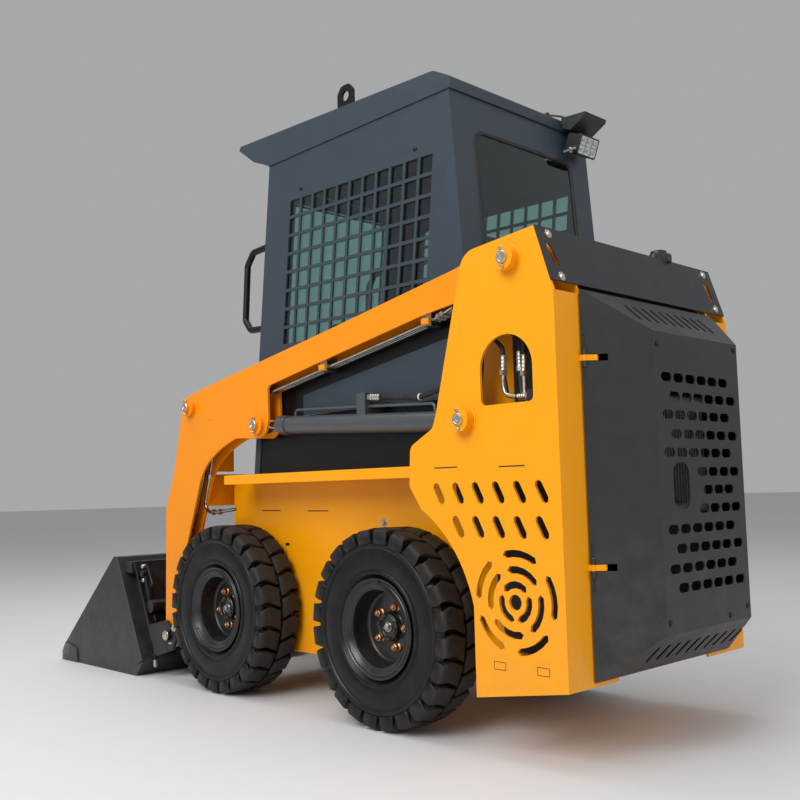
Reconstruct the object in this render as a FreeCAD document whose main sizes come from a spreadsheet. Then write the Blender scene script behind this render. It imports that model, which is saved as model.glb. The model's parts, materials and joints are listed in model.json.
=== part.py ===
import FreeCAD, Part
import math
import os

V = FreeCAD.Vector
doc = FreeCAD.newDocument("SkidSteerLoader")

# Row frame: +X forward to the bucket, +Y to the left side, +Z up, origin on the
# floor under the middle of the machine. All lengths are in millimetres.
SIZES = [
    # alias, value, what it is
    ("sheet_gap", 0.3, "clearance between a pin and its bore"),
    ("axle_height", 294, "wheel centre above the floor"),
    ("rear_axle_x", -586, "rear wheel centre"),
    ("front_axle_x", 254.5, "front wheel centre"),
    ("wheel_face_y", 443, "outer face of the tyres"),
    ("tyre_width", 163, "tyre width"),
    ("tyre_radius", 294, "tyre radius over the lugs"),
    ("lug_count", 24, "lugs in one row round the tyre"),
    ("lug_base_radius", 245, "raised ring on the sidewall, where the lugs begin"),
    ("crown_radius", 268, "tyre between the lugs"),
    ("rim_radius", 132, "bead seat of the rims"),
    ("flange_radius", 146, "edge of the rims"),
    ("rim_half_width", 72, "half width of the rims"),
    ("chassis_half_width", 262, "outer face of the chassis side plates"),
    ("chassis_front_x", 385, "front plate of the chassis"),
    ("chassis_rear_x", -1272, "rear end of the chassis"),
    ("chassis_bottom", 150, "underside of the chassis"),
    ("tail_front_x", -1095, "where the underside begins to rise to the rear"),
    ("tail_bottom", 212, "underside of the chassis at its rear end"),
    ("chassis_top", 766, "deck of the chassis"),
    ("chassis_wall", 8, "chassis plate thickness"),
    ("tower_face_y", 444, "outer face of the tower plates"),
    ("tower_inner_y", 338, "outboard face of the inner tower plates"),
    ("tower_plate", 8, "tower plate thickness"),
    ("pivot_x", -1143, "boom pivot"),
    ("pivot_z", 1293, "boom pivot"),
    ("pin_radius", 17, "radius of the main pins"),
    ("boss_radius", 33, "radius of the bosses round the pins"),
    ("boss_proud", 30, "how far a boss stands out of its plate"),
    ("lift_base_x", -972, "lift cylinder base pin"),
    ("lift_base_z", 882, "lift cylinder base pin"),
    ("lift_eye_x", 14, "lift cylinder rod pin in the boom"),
    ("lift_eye_z", 933, "lift cylinder rod pin in the boom"),
    ("boom_face_y", 410, "outer face of the boom"),
    ("boom_width", 60, "boom box width"),
    ("boom_plate", 8, "boom plate thickness"),
    ("boom_foot_radius", 45, "round end of the boom at the bucket pivot"),
    ("boom_lobe_radius", 70, "round end of the boom at its pivot"),
    ("boom_leg_radius", 314, "wheel arch cut in the boom leg, about the front axle"),
    ("cheek_y", 258, "outer face of the inner cheek at the boom elbow"),
    ("lift_cylinder_y", 380, "lift cylinders' middle plane"),
    ("tilt_cylinder_y", 300, "tilt cylinders' middle plane"),
    ("elbow_x", 448, "tilt cylinder base pin at the boom elbow"),
    ("elbow_z", 1028, "tilt cylinder base pin at the boom elbow"),
    ("tilt_x", 590, "bucket pivot at the foot of the boom"),
    ("tilt_z", 170, "bucket pivot at the foot of the boom"),
    ("tilt_lever", 160, "lever from the bucket pivot to the tilt rod pin"),
    ("tilt_lever_angle", 55, "angle of that lever above the floor"),
    ("barrel_radius", 30, "lift cylinder barrel"),
    ("lift_rod_radius", 12.5, "lift cylinder rod"),
    ("tilt_barrel_radius", 25, "tilt cylinder barrel"),
    ("tilt_rod_radius", 12, "tilt cylinder rod"),
    ("cab_half_width", 340, "outer face of the cab side"),
    ("cab_plate", 6, "cab plate thickness"),
    ("bucket_half_width", 445, "outer face of the bucket sides"),
    ("bucket_plate", 8, "bucket plate thickness"),
    ("hood_rear_x", -1421.5, "rear face of the hood"),
    ("hood_plate", 4, "hood plate thickness"),
    ("hood_clearance", 4, "hood behind the towers"),
    ("hood_hinge_x", -1290, "axis of the hood hinges"),
    ("hood_hinge_y", 336, "axis of the hood hinges"),
    ("hood_knuckle_radius", 6, "knuckles of the hood hinges"),
    ("hood_pin_radius", 3, "pins of the hood hinges"),
    ("hinge_tab_height", 15, "hinge tabs on the left tower"),
    ("hood_knuckle_height", 14, "knuckles on the hood"),
    ("hinge_notch_rear_x", -1334, "notches for the tabs in the hood"),
    ("axle_tube_radius", 48, "axle tubes"),
    ("axle_end_y", 296, "outer end of the axle tubes"),
    ("engine_rear_x", -1085, "engine"),
    ("engine_front_x", -640, "engine"),
    ("engine_half_width", 200, "engine"),
    ("engine_top", 750, "engine"),
    ("radiator_rear_x", -1335, "radiator"),
    ("radiator_front_x", -1205, "radiator"),
    ("radiator_half_width", 210, "radiator"),
    ("radiator_top", 905, "radiator"),
    ("tank_radius", 26, "round tank on the radiator"),
    ("rear_opening_half_width", 215, "rear opening of the chassis"),
    ("rear_opening_bottom", 262, "rear opening of the chassis"),
    ("footwell_rear_x", -180, "footwell opening"),
    ("footwell_front_x", 360, "footwell opening"),
    ("footwell_half_width", 235, "footwell opening"),
    ("fender_edge_y", 400, "outer edge of the fenders"),
    ("fender_plate", 6, "fender plate thickness"),
    ("fender_lip", 33, "height of the lip on the fender"),
    ("fender_rear_x", -790, "rear end of the fenders"),
    ("fender_front_x", 248, "front end of the fenders"),
    ("tower_rear_x", -1280, "rear face of the towers"),
    ("tower_bottom", 151, "lowest point of the towers"),
    ("tower_arch_radius", 406, "wheel arch cut in the towers, about the rear axle"),
    ("tower_inner_plate", 8, "inner tower plate thickness"),
    ("tower_inner_front_x", -937, "front edge of the inner tower plates"),
    ("flange_inner_y", 230, "inner edge of the rear flange of the towers"),
    ("window_x", -1117, "middle of the arched window in the towers"),
    ("window_half_width", 88, "half width of the arched window"),
    ("slot_pitch", 71, "pitch of the slanted slots"),
    ("cover_half_width", 329.7, "engine cover"),
    ("cover_z", 1190, "engine cover"),
    ("cover_front_x", -902, "engine cover"),
    ("cover_plate", 6, "engine cover"),
    ("cab_side_bottom", 958.3, "lower edge of the cab side plates"),
    ("grid_cell", 53, "hole of the window grid"),
    ("base_half_width", 330, "lower part of the cab"),
    ("frame_depth", 30, "depth of the front frame of the cab"),
    ("door_opening", 275, "half width of the door opening"),
    ("door_half_width", 268, "half width of the door"),
    ("door_rail", 40, "width of the door frame"),
    ("hinge_y", 271.5, "axis of the door hinges"),
    ("hinge_reach", 9, "axis of the door hinges ahead of the frame"),
    ("hinge_radius", 8, "knuckles of the door hinges"),
    ("door_low", 806, "lower edge of the door"),
    ("door_high", 1794, "upper edge of the door"),
    ("roof_half_width", 345, "roof cap"),
    ("lifting_eye_y", 322, "outer face of the lifting eyes"),
    ("lifting_eye_x", -367, "middle of the lifting eyes"),
    ("eye_hole_radius", 17, "hole in a lifting eye"),
    ("slot_width", 23, "width of the slanted slots"),
    ("fan_x", -1123, "middle of the round vent"),
    ("fan_z", 405, "middle of the round vent"),
    ("fan_hole_radius", 20, "centre hole of the round vent"),
    ("fan_slot_width", 19, "width of the arcs of the round vent"),
]

sheet = doc.addObject("Spreadsheet::Sheet", "sheet")
for row, (alias, value, meaning) in enumerate(SIZES, start=1):
    sheet.set("A%d" % row, meaning)
    sheet.set("B%d" % row, str(value))
    sheet.setAlias("B%d" % row, alias)
doc.recompute()


def size(alias):
    return float(sheet.get(alias))


PARTS = {}


def keep(label, obj):
    """Gives a finished sub-part its label, which names its file."""
    obj.Label = label
    PARTS[label] = obj
    return obj


def origin_plane(body, role):
    for feature in body.Origin.OriginFeatures:
        if feature.Role == role:
            return feature
    raise ValueError(role)


def corner_arc(before, corner, after, radius):
    """Start, middle and end of the round that replaces a corner."""
    to_before = (before - corner).normalize()
    to_after = (after - corner).normalize()
    half = to_before.getAngle(to_after) / 2
    reach = radius / math.tan(half)
    middle_way = (to_before + to_after).normalize()
    centre = corner + middle_way * (radius / math.sin(half))
    return corner + to_before * reach, centre - middle_way * radius, corner + to_after * reach


def outline(points):
    """Edges of a closed outline. A point is (x, y), (x, y, corner radius) or
    ("via", x, y), which bends the edge between its neighbours into an arc."""
    corners = []
    for point in points:
        if point[0] == "via":
            corners[-1][2] = V(point[1], point[2], 0)
        else:
            corners.append([V(point[0], point[1], 0), point[2] if len(point) > 2 else 0, None])
    edges = []
    count = len(corners)
    ends = []
    for i, (corner, radius, via) in enumerate(corners):
        if radius:
            ends.append(corner_arc(corners[i - 1][0], corner, corners[(i + 1) % count][0], radius))
        else:
            ends.append((corner, None, corner))
    for i, (start, middle, end) in enumerate(ends):
        if middle is not None:
            edges.append(Part.Arc(start, middle, end))
        following = ends[(i + 1) % count][0]
        via = corners[i][2]
        if via is not None:
            edges.append(Part.Arc(end, via, following))
        elif (following - end).Length > 1e-6:
            edges.append(Part.LineSegment(end, following))
    return edges


def circle(x, y, radius):
    return [Part.Circle(V(x, y, 0), V(0, 0, 1), radius)]


def slot(x0, y0, x1, y1, width):
    """A hole with ends rounded by three edges, from one end's centre to the other's."""
    lean = math.atan2(y1 - y0, x1 - x0)
    points = []
    for centre_x, centre_y, turn in ((x1, y1, -90), (x0, y0, 90)):
        for step in range(4):
            angle = lean + math.radians(turn + 60 * step)
            points.append((centre_x + width / 2 * math.cos(angle), centre_y + width / 2 * math.sin(angle)))
    return outline(points)


def inset(points, distance, closed=False):
    """A line moved to its right-hand side by a distance, corners mitred."""
    moved = []
    count = len(points)
    for i, point in enumerate(points):
        here = V(point[0], point[1], 0)
        normals = []
        for a, b in ((i - 1, i), (i, i + 1)):
            if closed or (a >= 0 and b < count):
                start, end = points[a % count], points[b % count]
                along = V(end[0] - start[0], end[1] - start[1], 0).normalize()
                normals.append(V(along.y, -along.x, 0))
        middle = (normals[0] + normals[-1]).normalize()
        shift = middle * (distance / middle.dot(normals[0]))
        moved.append((here.x + shift.x, here.y + shift.y))
    return moved


def sketch_in(body, role, name, loops, offset):
    sketch = body.newObject("Sketcher::SketchObject", name)
    sketch.AttachmentSupport = [(origin_plane(body, role), "")]
    sketch.MapMode = "FlatFace"
    sketch.setExpression("AttachmentOffset.Base.z", offset)
    for loop in loops:
        sketch.addGeometry(loop, False)
    return sketch


def prism(name, role, loops, offset, length):
    """A body padded from an outline on one of its own origin planes.
    XZ_Plane faces -Y, YZ_Plane faces +X and XY_Plane faces +Z."""
    body = doc.addObject("PartDesign::Body", name)
    sketch = sketch_in(body, role, name + "_outline", loops, offset)
    pad = body.newObject("PartDesign::Pad", name + "_pad")
    pad.Profile = sketch
    pad.setExpression("Length", length)
    body.Tip = pad
    return body


def side_plate(name, loops, face, thickness):
    """A plate in the X-Z plane on the left side, its outer face at Y = face."""
    return prism(name, "XZ_Plane", loops, "-(%s)" % face, thickness)


def turned(name, profile, place):
    """A body turned about an axis along Y through the given place.
    The profile is drawn with Y across and the radius up."""
    body = doc.addObject("PartDesign::Body", name)
    sketch = sketch_in(body, "YZ_Plane", name + "_profile", [profile], "0 mm")
    spin = body.newObject("PartDesign::Revolution", name + "_spin")
    spin.Profile = sketch
    spin.ReferenceAxis = (sketch, ["H_Axis"])
    spin.Angle = 360
    body.Tip = spin
    body.Placement = FreeCAD.Placement(V(*place), FreeCAD.Rotation())
    return body


def box(name, low, high):
    """A block between two corners, each a list of three expressions."""
    block = doc.addObject("Part::Box", name)
    for prop, a, b in zip(("Length", "Width", "Height"), low, high):
        block.setExpression(prop, "(%s) - (%s)" % (b, a))
    for axis, a in zip("xyz", low):
        block.setExpression("Placement.Base." + axis, a)
    return block


def pin(name, x, z, y_low, y_high, radius):
    """A round bar along Y, each size an expression."""
    bar = doc.addObject("Part::Cylinder", name)
    bar.setExpression("Radius", radius)
    bar.setExpression("Height", "(%s) - (%s)" % (y_high, y_low))
    bar.Placement = FreeCAD.Placement(V(0, 0, 0), FreeCAD.Rotation(V(1, 0, 0), -90))
    bar.setExpression("Placement.Base.x", x)
    bar.setExpression("Placement.Base.y", y_low)
    bar.setExpression("Placement.Base.z", z)
    return bar


def joined(name, pieces):
    fuse = doc.addObject("Part::MultiFuse", name)
    fuse.Shapes = pieces
    fuse.Refine = True
    return fuse


def cut(name, base, tool):
    difference = doc.addObject("Part::Cut", name)
    difference.Base = base
    difference.Tool = tool
    difference.Refine = True
    return difference


def mirror(name, source):
    """The right-hand twin of a left-hand piece."""
    twin = doc.addObject("Part::Mirroring", name)
    twin.Source = source
    twin.Normal = V(0, 1, 0)
    return twin


def pair(label, left):
    keep(label + "_left", left)
    keep(label + "_right", mirror(label + "_right", left))


def on_circle(centre_x, centre_z, radius, degrees):
    angle = math.radians(degrees)
    return centre_x + radius * math.cos(angle), centre_z + radius * math.sin(angle)


# Chassis: a welded box between the wheels, open on top over the engine and the
# footwell, with four axle tubes and an angle section over the wheels each side.
chassis_side = [(size("chassis_rear_x"), size("chassis_top")), (size("chassis_front_x"), size("chassis_top")),
                (size("chassis_front_x"), size("chassis_bottom")), (size("tail_front_x"), size("chassis_bottom")),
                (size("chassis_rear_x"), size("tail_bottom"))]
chassis_box = prism("chassis_box", "XZ_Plane", [outline(chassis_side)], "-sheet.chassis_half_width",
                    "2 * sheet.chassis_half_width")
chassis_space = prism("chassis_space", "XZ_Plane",
                      [outline(inset(chassis_side, size("chassis_wall"), closed=True))],
                      "-(sheet.chassis_half_width - sheet.chassis_wall)",
                      "2 * (sheet.chassis_half_width - sheet.chassis_wall)")
engine_opening = box("engine_opening",
                     ["sheet.chassis_rear_x + sheet.chassis_wall", "-sheet.chassis_half_width + 20",
                      "sheet.chassis_top - 2 * sheet.chassis_wall"],
                     ["sheet.engine_front_x + 20", "sheet.chassis_half_width - 20",
                      "sheet.chassis_top + sheet.chassis_wall"])
footwell_opening = box("footwell_opening",
                       ["sheet.footwell_rear_x", "-sheet.footwell_half_width",
                        "sheet.chassis_top - 2 * sheet.chassis_wall"],
                       ["sheet.footwell_front_x", "sheet.footwell_half_width",
                        "sheet.chassis_top + sheet.chassis_wall"])
rear_opening = box("rear_opening",
                   ["sheet.chassis_rear_x - 1", "-sheet.rear_opening_half_width", "sheet.rear_opening_bottom"],
                   ["sheet.chassis_rear_x + 2 * sheet.chassis_wall", "sheet.rear_opening_half_width",
                    "sheet.chassis_top + 1"])
chassis_pieces = [cut("chassis_shell", chassis_box,
                      joined("chassis_hollows",
                             [chassis_space, engine_opening, footwell_opening, rear_opening]))]
for end in ("front", "rear"):
    for side, sign in (("left", ""), ("right", "-")):
        low = "sheet.chassis_half_width - sheet.chassis_wall"
        high = "sheet.axle_end_y"
        if sign:
            low, high = "-(%s)" % high, "-(%s)" % low
        tube = pin("axle_tube_%s_%s" % (end, side), "sheet.%s_axle_x" % end, "sheet.axle_height",
                   low, high, "sheet.axle_tube_radius")
        chassis_pieces.append(tube)

keep("engine_block", box("engine_block",
                         ["sheet.engine_rear_x", "-sheet.engine_half_width",
                          "sheet.chassis_bottom + sheet.chassis_wall + sheet.sheet_gap"],
                         ["sheet.engine_front_x", "sheet.engine_half_width", "sheet.engine_top"]))
radiator_core = box("radiator_core", ["sheet.radiator_rear_x", "-sheet.radiator_half_width",
                                      "sheet.rear_opening_bottom + sheet.sheet_gap"],
                    ["sheet.radiator_front_x", "sheet.radiator_half_width", "sheet.radiator_top"])
radiator_tank = pin("radiator_tank", "sheet.radiator_rear_x + 35", "sheet.radiator_top + sheet.tank_radius",
                    "-sheet.radiator_half_width + 15", "sheet.radiator_half_width - 15", "sheet.tank_radius")
tank_foot = box("tank_foot", ["sheet.radiator_rear_x + 30", "-sheet.radiator_half_width + 40",
                              "sheet.radiator_top - 1"],
                ["sheet.radiator_rear_x + 40", "sheet.radiator_half_width - 40",
                 "sheet.radiator_top + sheet.tank_radius"])
keep("radiator", joined("radiator", [radiator_core, radiator_tank, tank_foot]))

inner, outer = size("chassis_half_width"), size("fender_edge_y")
top, wall, lip = size("chassis_top"), size("fender_plate"), size("fender_lip")
fender_section = outline([(inner - 1, top), (inner - 1, top - wall), (outer - wall, top - wall),
                          (outer - wall, top - lip), (outer, top - lip), (outer, top, 4)])
fender = prism("fender", "YZ_Plane", [fender_section], "sheet.fender_rear_x",
               "sheet.fender_front_x - sheet.fender_rear_x")
keep("chassis_frame", joined("chassis_frame", chassis_pieces + [fender, mirror("fender_right", fender)]))

# Towers: an outer and an inner plate, joined by the rear flange, the foot plate
# and the two pins that pass through the boom and the lift cylinder.
arch_x, arch_z = size("rear_axle_x"), size("axle_height")
arch_radius = size("tower_arch_radius")
arch_top = on_circle(arch_x, arch_z, arch_radius, 121)
arch_mid = on_circle(arch_x, arch_z, arch_radius, 144)
arch_low = on_circle(arch_x, arch_z, arch_radius, 167)
rear = size("tower_rear_x")
tower_outline = outline([
    (rear, size("tower_bottom") + 45), (arch_low[0], size("tower_bottom")), arch_low,
    ("via",) + arch_mid, arch_top, (-750, 706), (-756, 819, 30), (-846, 866, 30), (-861, 905, 40),
    (-968, 1305), (-985, 1341, 60), (-1225, 1365), (-1272, 1215), (rear, 1192)])
window_x, window_radius = size("window_x"), size("window_half_width")
tower_window = outline([
    (window_x - window_radius, 915, 15), (window_x + window_radius, 915, 15),
    (window_x + window_radius, 1009), ("via", window_x, 1009 + window_radius),
    (window_x - window_radius, 1009)])
tower_holes = [tower_window]
# Slots: column count, top of the first slot, lean to the bottom.
for count, first_x, first_z in ((6, -855, 704), (5, -924, 614)):
    for column in range(count):
        x = first_x - column * size("slot_pitch")
        tower_holes.append(slot(x, first_z, x - 20, first_z - 38, size("slot_width")))
# Fan: ring radius, number of arcs, first arc's middle angle, half sweep.
fan_x, fan_z = size("fan_x"), size("fan_z")
tower_holes.append(circle(fan_x, fan_z, size("fan_hole_radius")))


def arc_slot(centre_x, centre_z, radius, middle, half_sweep, width):
    """A slot bent round a centre, drawn with short straight edges and pointed ends."""
    points = []
    for r, turns in ((radius + width / 2, (-1, -0.5, 0, 0.5, 1)), (radius, (1,)),
                     (radius - width / 2, (1, 0.5, 0, -0.5, -1)), (radius, (-1,))):
        for turn in turns:
            beyond = math.degrees(width / 2 / radius) if r == radius else 0
            points.append(on_circle(centre_x, centre_z, r, middle + turn * (half_sweep + beyond)))
    return outline(points)


for ring, count, first, half_sweep in ((45, 3, 90, 42), (83, 4, 20, 30), (124, 5, 27, 22)):
    for i in range(count):
        tower_holes.append(arc_slot(fan_x, fan_z, ring, first + i * 360 / count, half_sweep,
                                    size("fan_slot_width")))
tower_outer = side_plate("tower_outer", [tower_outline] + tower_holes, "sheet.tower_face_y",
                         "sheet.tower_plate")
inner_front = size("tower_inner_front_x")
tower_inner_outline = outline([
    (rear, size("tower_bottom") + 45), (arch_low[0], size("tower_bottom")), arch_low,
    ("via",) + on_circle(arch_x, arch_z, arch_radius, 155), on_circle(arch_x, arch_z, arch_radius, 147),
    (inner_front, 600), (inner_front, 905), (-985, 1341, 40), (-1225, 1365), (-1272, 1215), (rear, 1192)])
tower_inner = side_plate("tower_inner", [tower_inner_outline], "sheet.tower_inner_y",
                         "sheet.tower_inner_plate")
tower_flange = box("tower_flange",
                   ["sheet.tower_rear_x", "sheet.flange_inner_y", "sheet.tower_bottom + 45"],
                   ["sheet.chassis_rear_x", "sheet.tower_face_y - sheet.tower_plate / 2", "1190"])
tower_foot = box("tower_foot",
                 ["sheet.chassis_rear_x", "sheet.chassis_half_width", "sheet.tower_bottom + 45"],
                 ["-985", "sheet.tower_face_y - sheet.tower_plate / 2",
                  "sheet.tower_bottom + 45 + sheet.tower_plate"])
tower_pieces = [tower_outer, tower_inner, tower_flange, tower_foot]
for name, x, z in (("pivot", "sheet.pivot_x", "sheet.pivot_z"),
                   ("lift_base", "sheet.lift_base_x", "sheet.lift_base_z")):
    tower_pieces.append(pin(name + "_pin", x, z, "sheet.tower_inner_y - sheet.tower_inner_plate",
                            "sheet.tower_face_y + sheet.boss_proud + 4", "sheet.pin_radius"))
    tower_pieces.append(pin(name + "_boss", x, z, "sheet.tower_face_y - sheet.tower_plate / 2",
                            "sheet.tower_face_y + sheet.boss_proud", "sheet.boss_radius"))
tower_solid = joined("tower_solid", tower_pieces)


def hood_side_y(x):
    """Outer face of the hood's slanted left side."""
    return 340 - (size("tower_rear_x") - size("hood_clearance") - x) * 120 / 137.5


def upright(name, z_low, height, radius):
    """A round piece on the axis of the hood hinges."""
    bar = doc.addObject("Part::Cylinder", name)
    bar.setExpression("Radius", radius)
    bar.setExpression("Height", height)
    bar.setExpression("Placement.Base.x", "sheet.hood_hinge_x")
    bar.setExpression("Placement.Base.y", "sheet.hood_hinge_y")
    bar.Placement.Base.z = z_low
    return bar


hinge_heights = (491, 1023)
tab, knuckle_height = size("hinge_tab_height"), size("hood_knuckle_height")
tab_end = size("hood_hinge_x") - 23
tower_hinges = []
for i, z in enumerate(hinge_heights):
    tower_hinges.append(prism("hinge_tab_%d" % i, "XY_Plane", [outline([
        (rear + 1, 343), (size("hood_hinge_x"), 341), (tab_end, hood_side_y(tab_end)),
        (tab_end, hood_side_y(tab_end) - 6), (rear + 1, 328)])],
        "%r mm" % (z - tab / 2), "sheet.hinge_tab_height"))
    tower_hinges.append(upright("hinge_tab_knuckle_%d" % i, z - tab / 2, "sheet.hinge_tab_height",
                                "sheet.hood_knuckle_radius"))
    tower_hinges.append(upright("hood_pin_%d" % i, z - tab / 2 - knuckle_height - 2,
                                "sheet.hinge_tab_height + 2 * sheet.hood_knuckle_height + 4",
                                "sheet.hood_pin_radius"))
keep("tower_left", joined("tower_left", [tower_solid] + tower_hinges))
keep("tower_right", mirror("tower_right", tower_solid))

# Cross panel over the rear of both towers.
cross_panel = prism("cross_panel", "XZ_Plane",
                    [outline([(-1272.3, 1215.1), (-1225.3, 1365.1), (-1229.1, 1366.3), (-1276.1, 1216.3)])],
                    "-sheet.tower_face_y", "2 * sheet.tower_face_y")
panel_slots = []
for side, y_top, y_bottom in (("left", 410, 397), ("right", -390, -396)):
    panel_slot = prism("panel_slot_" + side, "YZ_Plane", [slot(y_top, 1309, y_bottom, 1266, 22)],
                       "-1400 mm", "300 mm")
    panel_slots.append(panel_slot)
keep("cross_panel", cut("cross_panel_cut", cross_panel, joined("panel_slots", panel_slots)))

# Cover over the engine, between the towers and behind the cab, with air slots.
cover_top = box("cover_plate", ["sheet.tower_rear_x + 9", "-sheet.cover_half_width", "sheet.cover_z"],
                ["sheet.cover_front_x", "sheet.cover_half_width", "sheet.cover_z + sheet.cover_plate"])
cover_slots = []
for i in range(9):
    y = -280 + 70 * i
    cover_slots.append(box("cover_slot_%d" % i, ["-1215", str(y - 17), "sheet.cover_z - 5"],
                           ["-960", str(y + 17), "sheet.cover_z + 15"]))
keep("engine_cover", cut("engine_cover", cover_top, joined("cover_slots", cover_slots)))


# Cab: slanted front and rear planes, given by their X at a height.
def front_x(z):
    return 104 - 0.1095 * (z - 1222)


def rear_x(z):
    return -887 + 0.0716 * (z - 1389)


def slanted(x_at, z_low, z_high, behind, thickness):
    """Outline of a slab along a slanted plane, its face set back by some way."""
    return outline([(x_at(z_low) + behind, z_low), (x_at(z_high) + behind, z_high),
                    (x_at(z_high) + behind + thickness, z_high), (x_at(z_low) + behind + thickness, z_low)])


gap = size("sheet_gap")
side_bottom, side_top_rear, side_top_front = size("cab_side_bottom"), 1878, 1870
side_outline = outline([(rear_x(side_bottom), side_bottom), (rear_x(side_top_rear), side_top_rear),
                        (front_x(side_top_front), side_top_front), (front_x(side_bottom), side_bottom)])
grid_holes = []
along, down = V(-64, -1.5, 0), V(7, -64, 0)
cell = size("grid_cell") / 64
for row in range(8):
    for column in range(11):
        p = V(-87, 1716, 0) + along * column + down * row
        corners = [p, p + along * cell, p + (along + down) * cell, p + down * cell]
        grid_holes.append(outline([(c.x, c.y) for c in corners]))
pair("cab_side", side_plate("cab_side", [side_outline] + grid_holes, "sheet.cab_half_width",
                            "sheet.cab_plate"))
glass_outline = outline([(-822, 1195, 20), (-822, 1745, 20), (10, 1745, 20), (60, 1195, 20)])
pair("side_glass", side_plate("side_glass", [glass_outline],
                              "sheet.cab_half_width - sheet.cab_plate - sheet.sheet_gap", "4 mm"))

base_top = side_bottom - gap
base_bottom = size("chassis_top") + gap
base_front_drop = size("frame_depth") + 1
base_outer = prism("base_outer", "XZ_Plane", [outline([
    (rear_x(base_bottom), base_bottom), (rear_x(base_top), base_top),
    (front_x(base_top) - base_front_drop, base_top),
    (front_x(base_bottom) - base_front_drop, base_bottom)])],
    "-sheet.base_half_width", "2 * sheet.base_half_width")
base_space = prism("base_space", "XZ_Plane", [outline([
    (rear_x(base_bottom) + 8, base_bottom + 6), (rear_x(base_top) + 8, base_top + 1),
    (front_x(base_top) + 20, base_top + 1), (front_x(base_bottom) + 20, base_bottom + 6)])],
    "-(sheet.base_half_width - 8)", "2 * (sheet.base_half_width - 8)")
base_floor = box("base_floor", ["sheet.footwell_rear_x", "-sheet.footwell_half_width", "sheet.chassis_top - 5"],
                 ["sheet.chassis_front_x", "sheet.footwell_half_width", "sheet.chassis_top + 20"])
keep("cab_base", cut("cab_base", base_outer, joined("base_hollows", [base_space, base_floor])))

rear_panel = prism("rear_panel_slab", "XZ_Plane",
                   [slanted(rear_x, side_bottom, side_top_rear - 0.2, 0, size("cab_plate"))],
                   "-(sheet.cab_half_width - sheet.cab_plate - sheet.sheet_gap)",
                   "2 * (sheet.cab_half_width - sheet.cab_plate - sheet.sheet_gap)")
rear_window = prism("rear_window", "YZ_Plane", [outline([
    (-240, 1300, 40), (240, 1300, 40), (240, 1770, 40), (-240, 1770, 40)])], "-1000 mm", "300 mm")
keep("cab_rear_panel", cut("cab_rear_panel", rear_panel, rear_window))
rear_pane = prism("rear_pane", "XZ_Plane", [slanted(rear_x, 1290, 1780, 1, 4)], "-250 mm", "500 mm")
rear_glass_shape = prism("rear_glass_shape", "YZ_Plane", [outline([
    (-239.7, 1300.3, 39.7), (239.7, 1300.3, 39.7), (239.7, 1769.7, 39.7), (-239.7, 1769.7, 39.7)])],
    "-1000 mm", "300 mm")
rear_glass = doc.addObject("Part::MultiCommon", "rear_glass")
rear_glass.Shapes = [rear_pane, rear_glass_shape]
keep("rear_glass", rear_glass)

depth = size("frame_depth")
front_slab = prism("front_slab", "XZ_Plane", [slanted(front_x, base_bottom, side_top_front - 0.2, -depth, depth)],
                   "-(sheet.cab_half_width - sheet.cab_plate - sheet.sheet_gap)",
                   "2 * (sheet.cab_half_width - sheet.cab_plate - sheet.sheet_gap)")
front_opening = box("front_opening", ["-100", "-sheet.door_opening", "sheet.door_low - 6"],
                    ["300", "sheet.door_opening", "sheet.door_high + 6"])
hinge_rise = V(-0.1095, 0, 1).normalize()


def hinge_half(name, z_low, y_low, y_high, behind, thickness):
    """One half of a door hinge: its knuckle on the slanted axis and its leaf."""
    knuckle = doc.addObject("Part::Cylinder", name + "_knuckle")
    knuckle.Radius = size("hinge_radius")
    knuckle.Height = 40
    knuckle.Placement = FreeCAD.Placement(V(front_x(z_low) + size("hinge_reach"), size("hinge_y"), z_low),
                                          FreeCAD.Rotation(V(0, 0, 1), hinge_rise))
    leaf = prism(name + "_leaf", "XZ_Plane",
                 [slanted(front_x, z_low + 1.5, z_low + 38, behind, thickness)],
                 "%r mm" % -y_high, "%r mm" % (y_high - y_low))
    return [knuckle, leaf]


hinge_y = size("hinge_y")
frame_pieces = [cut("frame_ring", front_slab, front_opening)]
for i, z in enumerate((920, 1640)):
    frame_pieces += hinge_half("frame_hinge_%d" % i, z, hinge_y, hinge_y + 32, -1, 5)
keep("cab_front_frame", joined("cab_front_frame", frame_pieces))

door_slab = prism("door_slab", "XZ_Plane",
                  [slanted(front_x, size("door_low"), size("door_high"), -24, 22)],
                  "-sheet.door_half_width", "2 * sheet.door_half_width")
door_window = box("door_window", ["-100", "-(sheet.door_half_width - sheet.door_rail)",
                                  "sheet.door_low + sheet.door_rail + 20"],
                  ["300", "sheet.door_half_width - sheet.door_rail", "sheet.door_high - sheet.door_rail"])
door_pieces = [cut("door_ring", door_slab, door_window)]
for i, z in enumerate((920, 1640)):
    door_pieces += hinge_half("door_hinge_%d" % i, z + 40 * hinge_rise.z + gap, hinge_y - 32, hinge_y, -3, 7)
keep("cab_door_frame", joined("cab_door_frame", door_pieces))
keep("cab_door_glass", prism(
    "cab_door_glass", "XZ_Plane",
    [slanted(front_x, size("door_low") + size("door_rail") + 20 + gap,
             size("door_high") - size("door_rail") - gap, -16, 6)],
    "-(sheet.door_half_width - sheet.door_rail - sheet.sheet_gap)",
    "2 * (sheet.door_half_width - sheet.door_rail - sheet.sheet_gap)"))

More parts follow.
